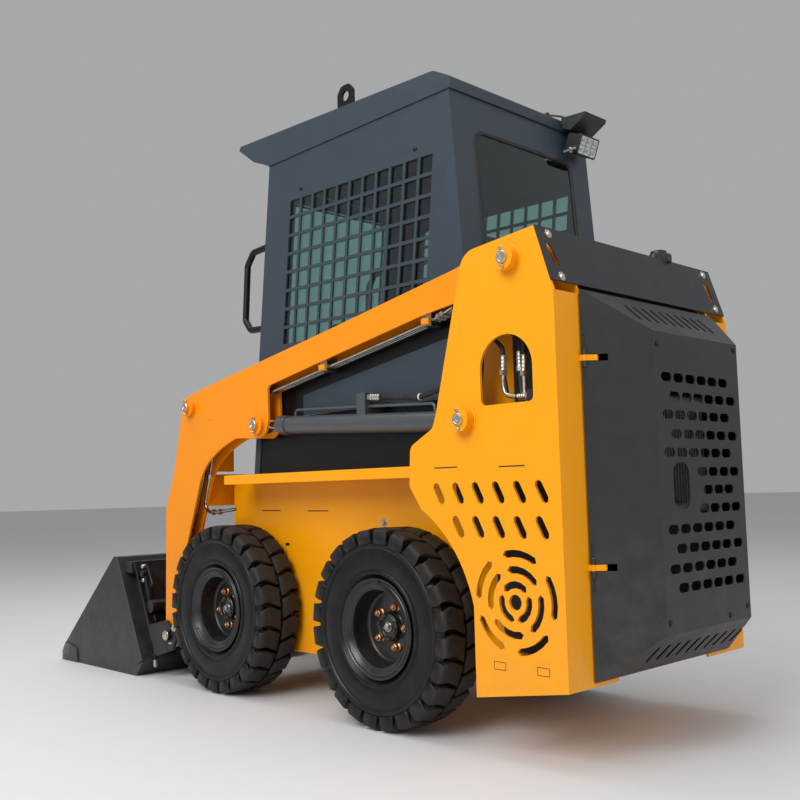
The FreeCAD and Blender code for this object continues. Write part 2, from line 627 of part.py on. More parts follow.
# Roof: a cap with a visor, hollow from below.
roof_outer = prism("roof_outer", "XZ_Plane", [outline([
    (rear_x(side_top_rear) - 7, side_top_rear + gap), (-862, 1912, 8), (-794, 1950, 40), (204, 1990, 8),
    (213, 1976, 4), (121, 1909, 30), (51, 1883), (front_x(side_top_front) + 1, side_top_front + gap)])],
    "-sheet.roof_half_width", "2 * sheet.roof_half_width")
roof_space = prism("roof_space", "XZ_Plane", [outline([
    (-842, 1860), (-842, 1908), (-790, 1936, 30), (-10, 1968, 20), (-10, 1860)])],
    "-(sheet.roof_half_width - 20)", "2 * (sheet.roof_half_width - 20)")
keep("roof_cap", cut("roof_cap", roof_outer, roof_space))
eye_x = size("lifting_eye_x")
eye_outline = outline([(eye_x - 40, 1966.1), (eye_x - 40, 2027, 22), (eye_x - 20, 2051, 22),
                       (eye_x + 20, 2051, 22), (eye_x + 40, 2027, 22), (eye_x + 40, 1969.3)])
pair("lifting_eye", side_plate("lifting_eye", [eye_outline, circle(eye_x, 2013, size("eye_hole_radius"))],
                               "sheet.lifting_eye_y", "8 mm"))

# Seat and controls.
keep("seat_base", box("seat_base", ["-700", "-200", "sheet.chassis_top + 6 + 2 * sheet.sheet_gap"],
                      ["-205", "200", "930"]))
keep("seat_cushion", prism("seat_cushion", "XZ_Plane", [outline([
    (-632, 930.3), (-632, 1000, 20), (-400, 1005), (-180, 1030, 30), (-180, 930.3, 15)])],
    "-220 mm", "440 mm"))
keep("seat_back", prism("seat_back", "XZ_Plane", [outline([
    (-635, 930.3), (-700, 1500, 40), (-800, 1500, 40), (-735, 930.3)])], "-220 mm", "440 mm"))
lever_pieces = []
for side, y in (("left", 270), ("right", -270)):
    base = box("console_%s" % side, ["-600", str(y - 40), "sheet.chassis_top + 6 + 2 * sheet.sheet_gap"],
               ["-240", str(y + 40), "1060"])
    stick = doc.addObject("Part::Cylinder", "stick_" + side)
    stick.Radius = 9
    stick.Height = 210
    stick.Placement = FreeCAD.Placement(V(-290, y, 1050), FreeCAD.Rotation(V(0, 1, 0), 10))
    grip = doc.addObject("Part::Cylinder", "grip_" + side)
    grip.Radius = 20
    grip.Height = 110
    grip.Placement = FreeCAD.Placement(V(-272, y, 1150), FreeCAD.Rotation(V(0, 1, 0), 10))
    keep("control_console_" + side, joined("control_console_" + side, [base, stick, grip]))


def bent_tube(name, points, radius, bend, sides=0):
    """A tube along a bent line; the points are (x, y, z). Thin ones get flat sides."""
    path = [V(*p) for p in points]
    edges = []
    start = path[0]
    for before, corner, after in zip(path, path[1:], path[2:]):
        a, middle, b = corner_arc(before, corner, after, bend)
        edges.append(Part.LineSegment(start, a).toShape())
        edges.append(Part.Arc(a, middle, b).toShape())
        start = b
    edges.append(Part.LineSegment(start, path[-1]).toShape())
    spine = doc.addObject("Part::Feature", name + "_path")
    spine.Shape = Part.Wire(edges)
    if sides:
        ring = doc.addObject("Part::RegularPolygon", name + "_ring")
        ring.Polygon = sides
        ring.Circumradius = radius
    else:
        ring = doc.addObject("Part::Circle", name + "_ring")
        ring.Radius = radius
    ring.Placement = FreeCAD.Placement(path[0], FreeCAD.Rotation(V(0, 0, 1), path[1] - path[0]))
    sweep = doc.addObject("Part::Sweep", name)
    sweep.Sections = [ring]
    sweep.Spine = (spine, ["Edge%d" % (i + 1) for i in range(len(edges))])
    sweep.Solid = True
    return sweep


handle_path = [(front_x(1595) + 2.3, 1595), (184, 1589), (222, 1545), (238, 1340), (205, 1300),
               (front_x(1295) + 2.3, 1295)]
pair("grab_handle", bent_tube("grab_handle", [(x, 305, z) for x, z in handle_path], 12, 24))

# Work lamp under its bracket at the right rear corner of the roof.
lamp_pieces = []
for name, loop, y_low, y_high in (
        ("bracket", [(-862.3, 1885), (-862.3, 1921), (-958, 1916), (-956, 1905), (-898, 1871)], 200, 320),
        ("body", [(-935.6, 1845.7, 4), (-912.4, 1788.3, 4), (-870.7, 1805.2, 12), (-893.9, 1862.6, 12)],
         202, 302),
        ("foot", [(-899, 1850), (-888, 1850), (-884, 1880), (-899, 1875)], 240, 264)):
    lamp_pieces.append(prism("lamp_" + name, "XZ_Plane", [outline(loop)], "%s mm" % y_low,
                             "%s mm" % (y_high - y_low)))
keep("work_lamp", joined("work_lamp", lamp_pieces))

# Hood: a folded rear door, tapered to its rear face and hollow.
hood_front = size("tower_rear_x") - size("hood_clearance")
hood_rear = size("hood_rear_x")


def frustum(name, front, front_ring, rear, rear_ring):
    """A block tapered to its rear in both ways; a ring is (half width, low, high)."""
    seen_from_side = prism(name + "_side", "XZ_Plane", [outline([
        (front, front_ring[1]), (rear, rear_ring[1]), (rear, rear_ring[2]), (front, front_ring[2])])],
        "-400 mm", "800 mm")
    seen_from_top = prism(name + "_top", "XY_Plane", [outline([
        (front, front_ring[0]), (rear, rear_ring[0]), (rear, -rear_ring[0]), (front, -front_ring[0])])],
        "0 mm", "1500 mm")
    block = doc.addObject("Part::MultiCommon", name)
    block.Shapes = [seen_from_side, seen_from_top]
    return block


hood_outer = frustum("hood_outer", hood_front, (340, 207, 1203), hood_rear, (220, 321, 1087))
hood_inner = frustum("hood_inner", hood_front + 1, (333, 213, 1197),
                     hood_rear + size("hood_plate"), (216, 325, 1083))
hood_holes = []
hole_rows = [
    (972, (167, 107, 47, -12, -70, -129)), (923, (130, 69, 10, -48, -105, -168)),
    (875, (167, 107, 47, -12, -70, -129)), (825, (130, 69, 10, -48, -105, -168)),
    (777, (167, 107, 47, -12, -70, -129)), (727, (7, -51, -111, -168)), (679, (-19, -78, -133)),
    (630, (7, -51, -111, -168)), (580, (167, 107, 47, -12, -70, -129)),
    (530.5, (130, 69, 10, -48, -105, -168)), (480.5, (167, 107, 47, -12, -70, -129)),
    (431.5, (130, 69, 10, -48, -105, -168))]
for z, row in hole_rows:
    for y in row:
        hood_holes.append(outline([(y - 25, z - 4), (y - 17, z - 12), (y + 17, z - 12), (y + 25, z - 4),
                                   (y + 25, z + 4), (y + 17, z + 12), (y - 17, z + 12), (y - 25, z + 4)]))
hood_holes.append(outline([(77, 631, 30), (157, 631, 30), (157, 751, 30), (77, 751, 30)]))
hood_cut = prism("hood_cut", "YZ_Plane", hood_holes, "%r mm" % (hood_rear - 10), "30 mm")
# Air slots: face, height to cut from, slots' first Y at their front end, pitch, lean to the rear end.
slot_fields = []
for name, z, first_y, pitch, lean in (("top", 1105, 190, 42, 13), ("bottom", 225, 169, 49.4, 21)):
    loops = []
    for i in range(10):
        y = first_y - pitch * i
        loops.append(outline([(-1320, y - 8), (-1320, y + 8), (-1379, y + lean + 8), (-1379, y + lean - 8)]))
    slot_fields.append(prism("hood_slots_" + name, "XY_Plane", loops, "%r mm" % z, "75 mm"))
hood_knuckles = []
hinge_cuts = []
for i, z in enumerate(hinge_heights):
    clear = tab / 2 + 1.5
    for side, z_low in (("low", z - clear - knuckle_height), ("high", z + clear)):
        hood_knuckles.append(upright("hood_knuckle_%s_%d" % (side, i), z_low, "sheet.hood_knuckle_height",
                                     "sheet.hood_knuckle_radius"))
    hinge_cuts.append(upright("hood_bore_%d" % i, z - 60, "120", "sheet.hood_pin_radius + sheet.sheet_gap"))
    hinge_cuts.append(box("hood_notch_%d" % i, ["sheet.hinge_notch_rear_x", "280", "%r" % (z - clear)],
                          ["-1270", "350", "%r" % (z + clear)]))
hood_skin = cut("hood_skin", hood_outer, joined("hood_hollows", [hood_inner, hood_cut] + slot_fields))
keep("hood_shell", cut("hood_shell", joined("hood_with_knuckles", [hood_skin] + hood_knuckles),
                       joined("hinge_cuts", hinge_cuts)))

# Wheels. A tyre is drawn with straight edges round it, one for each lug, from its
# middle plane out; its sidewalls are dished in to the bead.
tyre_y = size("wheel_face_y") - size("tyre_width") / 2
tyre_half = size("tyre_width") / 2
step = 360 / size("lug_count")


def round_of_edges(inner_radius, turn=0):
    """Outline with one straight edge for each lug, touching a circle."""
    reach = inner_radius / math.cos(math.radians(step / 2))
    return outline([on_circle(0, 0, reach, turn + step * i) for i in range(int(size("lug_count")))])


def edges_at(shape, y, inner_radius):
    """Names of the edges round the tyre at some place across it."""
    reach = inner_radius / math.cos(math.radians(step / 2))
    names = []
    for i, edge in enumerate(shape.Edges, start=1):
        if all(abs(v.Y - y) < 0.1 and abs(math.hypot(v.X, v.Z) - reach) < 0.1 for v in edge.Vertexes):
            names.append("Edge%d" % i)
    return names


def chamfered(body, name, radius, first_leg, second_leg):
    """Bevels both rounds of edges of a tyre at some radius."""
    doc.recompute()
    base = body.Tip
    bevel = body.newObject("PartDesign::Chamfer", name)
    names = edges_at(base.Shape, side_y, radius) + edges_at(base.Shape, -side_y, radius)
    bevel.Base = (base, names)
    bevel.ChamferType = "Two distances"
    bevel.Size = first_leg
    bevel.Size2 = second_leg
    body.Tip = bevel


crown, seat = size("crown_radius"), size("rim_radius") + 2 * gap
side_y = tyre_half - 2
lug_base = size("lug_base_radius")
# Legs of the bevels: the shoulders' on the tread and on the side, the beads' on
# the side and in the bore.
SHOULDER = (8, 62)
BEAD = (70, 14)
# Corner of a lug: place across the tyre, place along its row.
lug_corners = [(4, -27), (4, 34), (tyre_half, 27), (tyre_half, -34)]
lug_top = math.sqrt(size("tyre_radius") ** 2 - 34 ** 2)


def tyre(name, x):
    body = doc.addObject("PartDesign::Body", name)
    ring = sketch_in(body, "XZ_Plane", name + "_ring", [round_of_edges(crown), round_of_edges(seat)],
                     "%r mm" % -side_y)
    band = body.newObject("PartDesign::Pad", name + "_band")
    band.Profile = ring
    band.Length = 2 * side_y
    body.Tip = band
    chamfered(body, name + "_shoulders", crown, SHOULDER[0], SHOULDER[1])
    chamfered(body, name + "_beads", seat, BEAD[0], BEAD[1])
    for row, turn in ((1, step / 2), (-1, 0)):
        angle = math.radians(turn)
        sketch = body.newObject("Sketcher::SketchObject", "%s_lug_%d" % (name, row))
        sketch.AttachmentSupport = [(origin_plane(body, "XY_Plane"), "")]
        sketch.MapMode = "FlatFace"
        sketch.AttachmentOffset = FreeCAD.Placement(
            V(lug_base * math.sin(angle), 0, lug_base * math.cos(angle)),
            FreeCAD.Rotation(V(0, 1, 0), turn))
        sketch.addGeometry(outline([(along, row * across) for across, along in lug_corners]), False)
        pad = body.newObject("PartDesign::Pad", "%s_lug_pad_%d" % (name, row))
        pad.Profile = sketch
        pad.Length = lug_top - lug_base
        body.Tip = pad
        doc.recompute()
        pattern = body.newObject("PartDesign::PolarPattern", "%s_lugs_%d" % (name, row))
        pattern.Originals = [pad]
        pattern.Axis = (origin_plane(body, "Y_Axis"), [""])
        pattern.Angle = 360
        pattern.setExpression("Occurrences", "sheet.lug_count")
        body.Tip = pattern
    body.Placement = FreeCAD.Placement(V(x, tyre_y, size("axle_height")), FreeCAD.Rotation())
    return body


rim, flange, half = size("rim_radius"), size("flange_radius"), size("rim_half_width")
axle_face = size("axle_end_y") + gap - tyre_y
rim_profile = outline([
    (axle_face, 0), (axle_face, 45), (-14, 45), (-14, rim - 28), (-half, rim - 6), (-half, flange),
    (-half + 5.5, rim), (half - 5.5, rim), (half, flange), (half, rim - 6), (6, rim - 26), (6, 30), (30, 26),
    (30, 0)])
for end in ("front", "rear"):
    x = size(end + "_axle_x")
    pair("tyre_" + end, tyre("tyre_" + end, x))
    pair("rim_" + end, turned("rim_" + end, rim_profile, (x, tyre_y, size("axle_height"))))


# Boom: one box arm each side, open below, bored for its pins.
px, pz = size("pivot_x"), size("pivot_z")
ex, ez = size("lift_eye_x"), size("lift_eye_z")
kx, kz = size("elbow_x"), size("elbow_z")
tx, tz = size("tilt_x"), size("tilt_z")
foot = size("boom_foot_radius")
lobe = size("boom_lobe_radius")
fx, fz = size("front_axle_x"), size("axle_height")
leg = size("boom_leg_radius")
boom_top = [(-912, 1310), (-382, 1218), (22, 1151), (391, 1089), (498, 1065), (515, 1020),
            (569, 795), (628, 656), (631, 643), (635, 175)]
lobe_top = on_circle(px, pz, lobe, 78)
lobe_rear = on_circle(px, pz, lobe, 180)
lobe_low = on_circle(px, pz, lobe, -76)
boom_outline = outline([
    lobe_top, boom_top[0] + (300,)] + [p for p in boom_top[1:3]] + [
    boom_top[3] + (200,), boom_top[4] + (20,), boom_top[5] + (60,), boom_top[6] + (200,),
    boom_top[7] + (60,), (631, 643), (tx + foot, tz), ("via",) + on_circle(tx, tz, foot, -90),
    on_circle(tx, tz, foot, 180), on_circle(fx, fz, leg, 5), ("via",) + on_circle(fx, fz, leg, 24),
    on_circle(fx, fz, leg, 43), (430, 646, 60), (396, 735), ("via", 371, 779), (306, 835),
    ("via", 257, 861), (211, 879), (156, 896, 60), (86, 892), (8, 888, 30), (-22, 906, 30), (-37, 950),
    (-34, 1053), ("via", -43, 1064), (-53, 1068), (-380, 1127), (-790, 1200), (-905, 1214, 200),
    lobe_low, ("via",) + lobe_rear])
inner_line = inset(boom_top, size("boom_plate"))
boom_space_outline = outline([on_circle(px, pz, lobe + 40, 200)]
                             + [on_circle(px, pz, lobe - 8, 92)] + inner_line[:-1]
                             + [(inner_line[-1][0], 100), (300, 100), (300, 620), (-30, 850),
                                (-80, 1000), (-905, 1150), (px, pz - 130)])
boom_block = side_plate("boom_block", [boom_outline], "sheet.boom_face_y", "sheet.boom_width")
boom_space = side_plate("boom_space", [boom_space_outline], "sheet.boom_face_y - sheet.boom_plate",
                        "sheet.boom_width - 2 * sheet.boom_plate")
bores = [pin("pivot_bore", "sheet.pivot_x", "sheet.pivot_z", "sheet.boom_face_y - sheet.boom_width - 5",
             "sheet.boom_face_y + 5", "sheet.pin_radius + sheet.sheet_gap"),
         pin("foot_bore", "sheet.tilt_x", "sheet.tilt_z", "sheet.boom_face_y - sheet.boom_width - 5",
             "sheet.boom_face_y + 5", "sheet.pin_radius + sheet.sheet_gap")]
arm = cut("boom_arm", boom_block, joined("boom_hollows", [boom_space] + bores))
cheek_outline = outline([(404, 785), (440, 785), (488, 1010, 30), (486, 1062, 30), (404, 1066, 20)])
arm_pieces = [
    arm,
    side_plate("elbow_cheek", [cheek_outline], "sheet.cheek_y", "sheet.boom_plate"),
    box("elbow_web", ["404", "sheet.cheek_y - sheet.boom_plate", "785"],
        ["412", "sheet.boom_face_y - sheet.boom_width + sheet.boom_plate / 2", "1060"]),
    pin("elbow_pin", "sheet.elbow_x", "sheet.elbow_z", "sheet.cheek_y - sheet.boom_plate",
        "sheet.boom_face_y + sheet.boss_proud", "sheet.pin_radius"),
    pin("elbow_boss", "sheet.elbow_x", "sheet.elbow_z", "sheet.boom_face_y - sheet.boom_plate / 2",
        "sheet.boom_face_y + 18", "sheet.boss_radius"),
    pin("lift_eye_boss", "sheet.lift_eye_x", "sheet.lift_eye_z",
        "sheet.boom_face_y - sheet.boom_plate / 2", "sheet.boom_face_y + 18", "sheet.boss_radius"),
    pin("lift_eye_pin", "sheet.lift_eye_x", "sheet.lift_eye_z", "sheet.boom_face_y - sheet.boom_plate / 2",
        "sheet.boom_face_y + sheet.boss_proud", "sheet.pin_radius")]
pair("boom_arm", joined("boom_arm", arm_pieces))
# Steel tubes under the boom, with the clamps that hold them in its channel.
tube_pieces = []
tube_y = (391, 378, 365)
for i, y in enumerate(tube_y):
    tube_pieces.append(bent_tube("boom_tube_%d" % i, [(330, y, 981), (-800, y, 1180.5), (-889, y, 1209.5)],
                                 6, 60, sides=8))
for i, (x, z_low, z_high) in enumerate(((325, 966, 1000), (-326, 1085, 1126), (-795, 1167, 1212))):
    tube_pieces.append(box("tube_clamp_%d" % i, [
        "%s" % (x - 18), "sheet.boom_face_y - sheet.boom_width + sheet.boom_plate + sheet.sheet_gap",
        "%s" % z_low], ["%s" % (x + 18), "sheet.boom_face_y - sheet.boom_plate - sheet.sheet_gap",
                        "%s" % z_high]))
pair("boom_tubes", joined("boom_tubes", tube_pieces))

# Hoses in the towers, from a bulkhead on the inner plate to the tubes on the boom.
# Y in the tower, Y at the tubes, then X and Z of each corner up to the tubes.
hose_pieces = []
for i, (y, tube, route) in enumerate((
        (396, tube_y[0], [(-1160, 934), (-1081, 938), (-1070, 1000), (-1070, 1070), (-965, 1175)]),
        (378, tube_y[1], [(-1160, 916), (-1128, 920), (-1126, 1000), (-1128, 1080), (-1050, 1178)]),
        (360, tube_y[2], [(-1160, 934), (-1100, 938), (-1098, 1000), (-1098, 1090), (-1005, 1182)]))):
    corners = [(x, y, z) for x, z in route] + [(-897, tube, 1200)]
    hose_pieces.append(bent_tube("tower_hose_%d" % i, corners, 6.4, 22, sides=8))
hose_pieces.append(box("hose_bulkhead", ["-1190", "sheet.tower_inner_y + sheet.sheet_gap", "900"],
                       ["-1155", "408", "950"]))
pair("tower_hoses", joined("tower_hoses", hose_pieces))

reach_in = "(sheet.boom_face_y - sheet.boom_width - sheet.sheet_gap)"
beam_outer = box("beam_outer", ["425", "-" + reach_in, "657"], ["477", reach_in, "775"])
beam_inner = box("beam_inner", ["431", "-" + reach_in, "663"], ["471", reach_in, "769"])
keep("boom_beam", cut("boom_beam", beam_outer, beam_inner))


# Cylinders, drawn lying along X from their base pin and then turned into place.
def cylinder_pair(label, y, base, tip, barrel, rod, eye_radius, eye_width, bore_from, bore_to, rod_length,
                  pin_hole):
    """Barrel and rod of a hydraulic cylinder between two pins."""
    start, end = V(base[0], y, base[1]), V(tip[0], y, tip[1])
    length = (end - start).Length
    turn = FreeCAD.Rotation(V(1, 0, 0), end - start)

    def along_x(name, x, low, high, radius):
        bar = doc.addObject("Part::Cylinder", name)
        bar.Radius = radius
        bar.Height = high - low
        bar.Placement = FreeCAD.Placement(V(x + low, 0, 0), FreeCAD.Rotation(V(0, 1, 0), 90))
        return bar

    def across(name, x, radius, width):
        bar = doc.addObject("Part::Cylinder", name)
        bar.Radius = radius
        bar.Height = width
        bar.Placement = FreeCAD.Placement(V(x, width / 2, 0), FreeCAD.Rotation(V(1, 0, 0), 90))
        return bar

    tube = along_x(label + "_tube", 0, eye_radius * 0.6, bore_to, barrel)
    gland = along_x(label + "_gland", 0, bore_to - 45, bore_to, barrel + 3)
    base_eye = across(label + "_base_eye", 0, eye_radius, eye_width)
    hollow = along_x(label + "_hollow", 0, bore_from, bore_to + 10, rod + gap)
    base_hole = across(label + "_base_hole", 0, pin_hole, eye_width + 20)
    body = cut(label + "_barrel_body", joined(label + "_barrel_solid", [tube, gland, base_eye]),
               joined(label + "_barrel_holes", [hollow, base_hole]))
    shaft = along_x(label + "_shaft", 0, length - rod_length, length - eye_radius * 0.5, rod)
    rod_eye = across(label + "_rod_eye", length, eye_radius, eye_width)
    rod_hole = across(label + "_rod_hole", length, pin_hole, eye_width + 20)
    rod_body = cut(label + "_rod_body", joined(label + "_rod_solid", [shaft, rod_eye]), rod_hole)
    placed = []
    for piece in (body, rod_body):
        piece.Placement = FreeCAD.Placement(start, turn)
        placed.append(piece)
    return placed


hole = size("pin_radius") + gap
angle = math.radians(size("tilt_lever_angle"))
tilt_eye = (tx + size("tilt_lever") * math.cos(angle), tz + size("tilt_lever") * math.sin(angle))
lift_barrel, lift_rod = cylinder_pair(
    "lift", size("lift_cylinder_y"), (size("lift_base_x"), size("lift_base_z")), (ex, ez),
    size("barrel_radius"), size("lift_rod_radius"), 30, 34, 310, 900, 665, hole)
tilt_barrel, tilt_rod = cylinder_pair(
    "tilt", size("tilt_cylinder_y"), (kx, kz), tilt_eye,
    size("tilt_barrel_radius"), size("tilt_rod_radius"), 27, 32, 280, 655, 417, hole)
# Valve block and steel lines on top of the lift barrel, and the hose from it into the tower.
line_y = size("lift_cylinder_y")
barrel_lines = [
    box("lift_valve", ["-516", "%r" % (line_y - 17), "925"], ["-477", "%r" % (line_y + 17), "1000"]),
    bent_tube("lift_line_front", [(-150, line_y, 940), (-150, line_y, 974), (-480, line_y, 960)], 5, 14, 8),
    bent_tube("lift_line_rear", [(-512, line_y, 958), (-797, line_y, 944), (-800, line_y, 915)], 5, 14, 8)]
pair("lift_barrel", joined("lift_barrel_with_lines", [lift_barrel] + barrel_lines))
pair("lift_hose", bent_tube("lift_hose", [
    (-517.2, line_y, 985), (-590, line_y, 980), (-728, line_y, 966), (-830, line_y, 984),
    (-930, line_y, 990)], 8, 50, 10))
pair("lift_rod", lift_rod)
pair("tilt_barrel", tilt_barrel)
pair("tilt_rod", tilt_rod)


# Quick attach: the sloping plate with its ears on the boom feet and its lugs for the tilt rods.
def plate_x(z):
    return 728 + 0.477 * (z - 196)


def plate_slab(name, z_low, z_high, half_width):
    thickness = 11.1
    return prism(name, "XZ_Plane", [outline([
        (plate_x(z_low), z_low), (plate_x(z_high), z_high), (plate_x(z_high) + thickness, z_high),
        (plate_x(z_low) + thickness, z_low)])], "-(%s)" % half_width, "2 * (%s)" % half_width)


ear_outline = outline([(plate_x(200) + 4, 200), (606, 228, 24), (530, 172, 24), (560, 120, 24),
                       (676, 87), (plate_x(92) + 4, 92)])
lug_outline = outline([(plate_x(255) + 4, 255), (668, 262, 24), (652, 318, 24), (690, 338, 24),
                       (plate_x(345) + 4, 345)])
side_pieces = []
for name, loops, face, thickness in (
        ("outer_ear", [ear_outline], 427, 10), ("inner_ear", [ear_outline], 343, 10),
        ("outer_lug", [lug_outline], 328, 8), ("inner_lug", [lug_outline], 280, 8)):
    side_pieces.append(side_plate(name, loops, "%s mm" % face, "%s mm" % thickness))
side_pieces.append(pin("foot_pin", "sheet.tilt_x", "sheet.tilt_z", "333 mm", "438 mm", "sheet.pin_radius"))
tilt_pin = doc.addObject("Part::Cylinder", "tilt_pin_outer")
tilt_pin.Radius = size("pin_radius")
tilt_pin.Height = 13
tilt_pin.Placement = FreeCAD.Placement(V(tilt_eye[0], 320, tilt_eye[1]), FreeCAD.Rotation(V(1, 0, 0), -90))
tilt_stub = doc.addObject("Part::Cylinder", "tilt_pin_inner")
tilt_stub.Radius = size("pin_radius")
tilt_stub.Height = 13
tilt_stub.Placement = FreeCAD.Placement(V(tilt_eye[0], 267, tilt_eye[1]), FreeCAD.Rotation(V(1, 0, 0), -90))
side_pieces += [tilt_pin, tilt_stub]
left_side = joined("attach_left", side_pieces)
attach_pieces = [
    plate_slab("attach_plate", 92, 440, "427 mm"), left_side,
    mirror("attach_right", left_side),
    pin("attach_tube", "738", "270", "-275 mm", "275 mm", "25 mm"),
    pin("attach_tube_left", "738", "270", "324 mm", "420 mm", "25 mm"),
    pin("attach_tube_right", "738", "270", "-420 mm", "-324 mm", "25 mm")]
keep("quick_attach_frame", joined("quick_attach_frame", attach_pieces))
keep("quick_attach_lip", plate_slab("quick_attach_lip", 40, 92 - gap, "270 mm"))

# Lock levers on the back of the quick attach, one each side.
lever = joined("lever_solid", [
    pin("lever_boss", "795", "395", "392 mm", "424 mm", "14 mm"),
    side_plate("lever_bar", [slot(793, 392, 760, 300, 24)], "416 mm", "8 mm")])
pair("lock_lever", lever)

# Bucket: a folded shell with side plates, a cutting edge and a mounting frame on its back.
outer_loop = [(1435, 0), (800, 0, 30), (745, 62, 30), (945, 455), (983, 457), (1400, 85), (1435, 40)]
bucket_outer = prism("bucket_outer", "XZ_Plane", [outline(outer_loop)], "-sheet.bucket_half_width",
                     "2 * sheet.bucket_half_width")
bucket_space = prism("bucket_space", "XZ_Plane", [outline([
    (1500, 8), (804, 8, 22), (754.5, 63.5, 22), (948, 447), (1500, 447)])],
    "-(sheet.bucket_half_width - sheet.bucket_plate)",
    "2 * (sheet.bucket_half_width - sheet.bucket_plate)")
bucket_pieces = [cut("bucket_bowl", bucket_outer, bucket_space)]
bucket_pieces.append(prism("cutting_edge", "XZ_Plane", [outline([
    (1435, 0), (1290, 0), (1290, 20), (1400, 20), (1435, 8)])], "-sheet.bucket_half_width",
    "2 * sheet.bucket_half_width"))
rib_loop = [(plate_x(100) + 11.4, 100), (plate_x(438) + 11.4, 438), (940, 438), (770, 100)]
for i, y in enumerate((-380, -150, 160, 390)):
    bucket_pieces.append(prism("bucket_rib_%d" % i, "XZ_Plane", [outline(rib_loop)], "%s mm" % -y, "10 mm"))
bucket_pieces.append(box("bucket_beam", ["862", "-430", "395"], ["925", "430", "438"]))
keep("bucket_shell", joined("bucket_shell", bucket_pieces))

# Every object is checked, then each sub-part is written to its own file.
doc.recompute()
for obj in doc.Objects:
    if "Invalid" in obj.State or "Error" in obj.State:
        raise RuntimeError("%s is in state %s" % (obj.Name, obj.State))
for label, obj in PARTS.items():
    shape = obj.Shape
    if shape.isNull() or not shape.isValid():
        raise RuntimeError(label + " is not a valid shape")
    if len(shape.Solids) != 1:
        raise RuntimeError("%s has %d solids" % (label, len(shape.Solids)))
os.makedirs("parts", exist_ok=True)
for label, obj in PARTS.items():
    obj.Shape.exportStep("parts/%s.step" % label)
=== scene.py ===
"""Skid steer loader, dressed over its solid frame.

The solids keep their shapes and get real finishes. This script adds what is finer than them:
lugged tyres and rims, a padded seat, pins, bolts, hose ends, the lamp's optics, seals, an oil
cooler and weld beads. Lengths are millimetres unless a comment says otherwise: +X towards the
bucket, +Y to the machine's left, +Z up. What comes twice is worked out on the left and mirrored.
"""
import json
import math

import bmesh
import bpy
import numpy as np
from mathutils import Euler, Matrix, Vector


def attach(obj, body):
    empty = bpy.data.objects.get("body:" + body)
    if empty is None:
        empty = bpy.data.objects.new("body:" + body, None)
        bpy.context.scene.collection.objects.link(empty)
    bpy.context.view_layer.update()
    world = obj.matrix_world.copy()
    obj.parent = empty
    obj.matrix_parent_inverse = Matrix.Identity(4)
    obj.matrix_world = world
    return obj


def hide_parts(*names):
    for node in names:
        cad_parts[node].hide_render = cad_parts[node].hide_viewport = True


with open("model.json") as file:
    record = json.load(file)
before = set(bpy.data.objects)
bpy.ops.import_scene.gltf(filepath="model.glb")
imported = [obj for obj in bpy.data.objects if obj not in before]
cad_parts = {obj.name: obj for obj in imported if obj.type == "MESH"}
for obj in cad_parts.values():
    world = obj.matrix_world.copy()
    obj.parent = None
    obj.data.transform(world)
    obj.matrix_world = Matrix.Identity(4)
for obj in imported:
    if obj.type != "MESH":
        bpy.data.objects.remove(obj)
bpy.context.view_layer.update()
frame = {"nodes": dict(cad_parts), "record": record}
NODES = frame["nodes"]

FORWARD, LEFT, UP = (1, 0, 0), (0, 1, 0), (0, 0, 1)
METRES = 0.001

# Colours of the real finishes, as sRGB hex.
YELLOW = "#F5A000"
# The towers' yellow, darker and more orange on the boom: painted shade.
BOOM_SHADED_YELLOW = "#F38F00"
CAB_GREY = "#323D47"
HOOD_GREY = "#252629"
BLACK_PAINT = "#0B0C0D"
RIM_BLACK = "#101113"
BUCKET_GREY = "#242629"
CYLINDER_GREY = "#46494D"
BARE_STEEL = "#8B8984"
RUBBER = "#09090A"
DUST = "#857B6D"
ZINC = "#D2CEC2"
CHROME = "#D9DCDF"
GLASS_TINT = "#B6D8D4"
VINYL = "#17181A"
COPPER = "#CC9468"
FLOOR = "#D3D4D5"


# Surfaces: each is a pair of points and faces, worked out as whole arrays

def skin(rings, closed=False):
    """A skin through rings of points: neighbours on a ring and on the next ring make a quad. Open ends get a
    cap, and a closed skin joins its last ring to its first."""
    rings = np.asarray(rings, float)
    rows, columns = rings.shape[:2]
    row, column = (grid.ravel() for grid in np.mgrid[0:rows if closed else rows - 1, 0:columns])
    next_row, next_column = (row + 1) % rows, (column + 1) % columns
    faces = np.stack([row * columns + column, row * columns + next_column,
                      next_row * columns + next_column, next_row * columns + column], axis=1).tolist()
    if not closed:
        faces += [list(range(columns))[::-1], list(range((rows - 1) * columns, rows * columns))]
    return rings.reshape(-1, 3), faces


def together(*surfaces):
    """Several surfaces as one: corner numbers move up by the count of the points before them."""
    starts = np.cumsum([0] + [len(points) for points, _ in surfaces[:-1]])
    faces = [[corner + int(start) for corner in face]
             for (_, own), start in zip(surfaces, starts) for face in own]
    return np.concatenate([points for points, _ in surfaces]), faces


def repeated(surface, matrices):
    """Copies of a surface: every point times every 3 x 4 matrix."""
    points, faces = surface
    matrices = np.asarray(matrices, float)
    placed = np.einsum("nij,pj->npi", matrices[:, :, :3], points) + matrices[:, None, :, 3]
    copies = [[corner + n * len(points) for corner in face] for n in range(len(matrices)) for face in faces]
    return placed.reshape(-1, 3), copies


def moved(surface, *places):
    """Copies of a surface, each moved by one place."""
    return repeated(surface, [np.column_stack([np.eye(3), place]) for place in places])


def about_axle(angles, x, z):
    """Matrices that turn by each angle about an axle along Y through (x, z): x' = x + dx cos a - dz sin a."""
    a = np.atleast_1d(np.asarray(angles, float))
    c, s, o = np.cos(a), np.sin(a), np.zeros(len(a))
    rows = [[c, o, -s, x - x * c + z * s], [o, o + 1, o, o], [s, o, c, z - x * s - z * c]]
    return np.moveaxis(np.array(rows), 2, 0)


def as_it_is(surface):
    """The surface itself, for the machine's left."""
    return surface


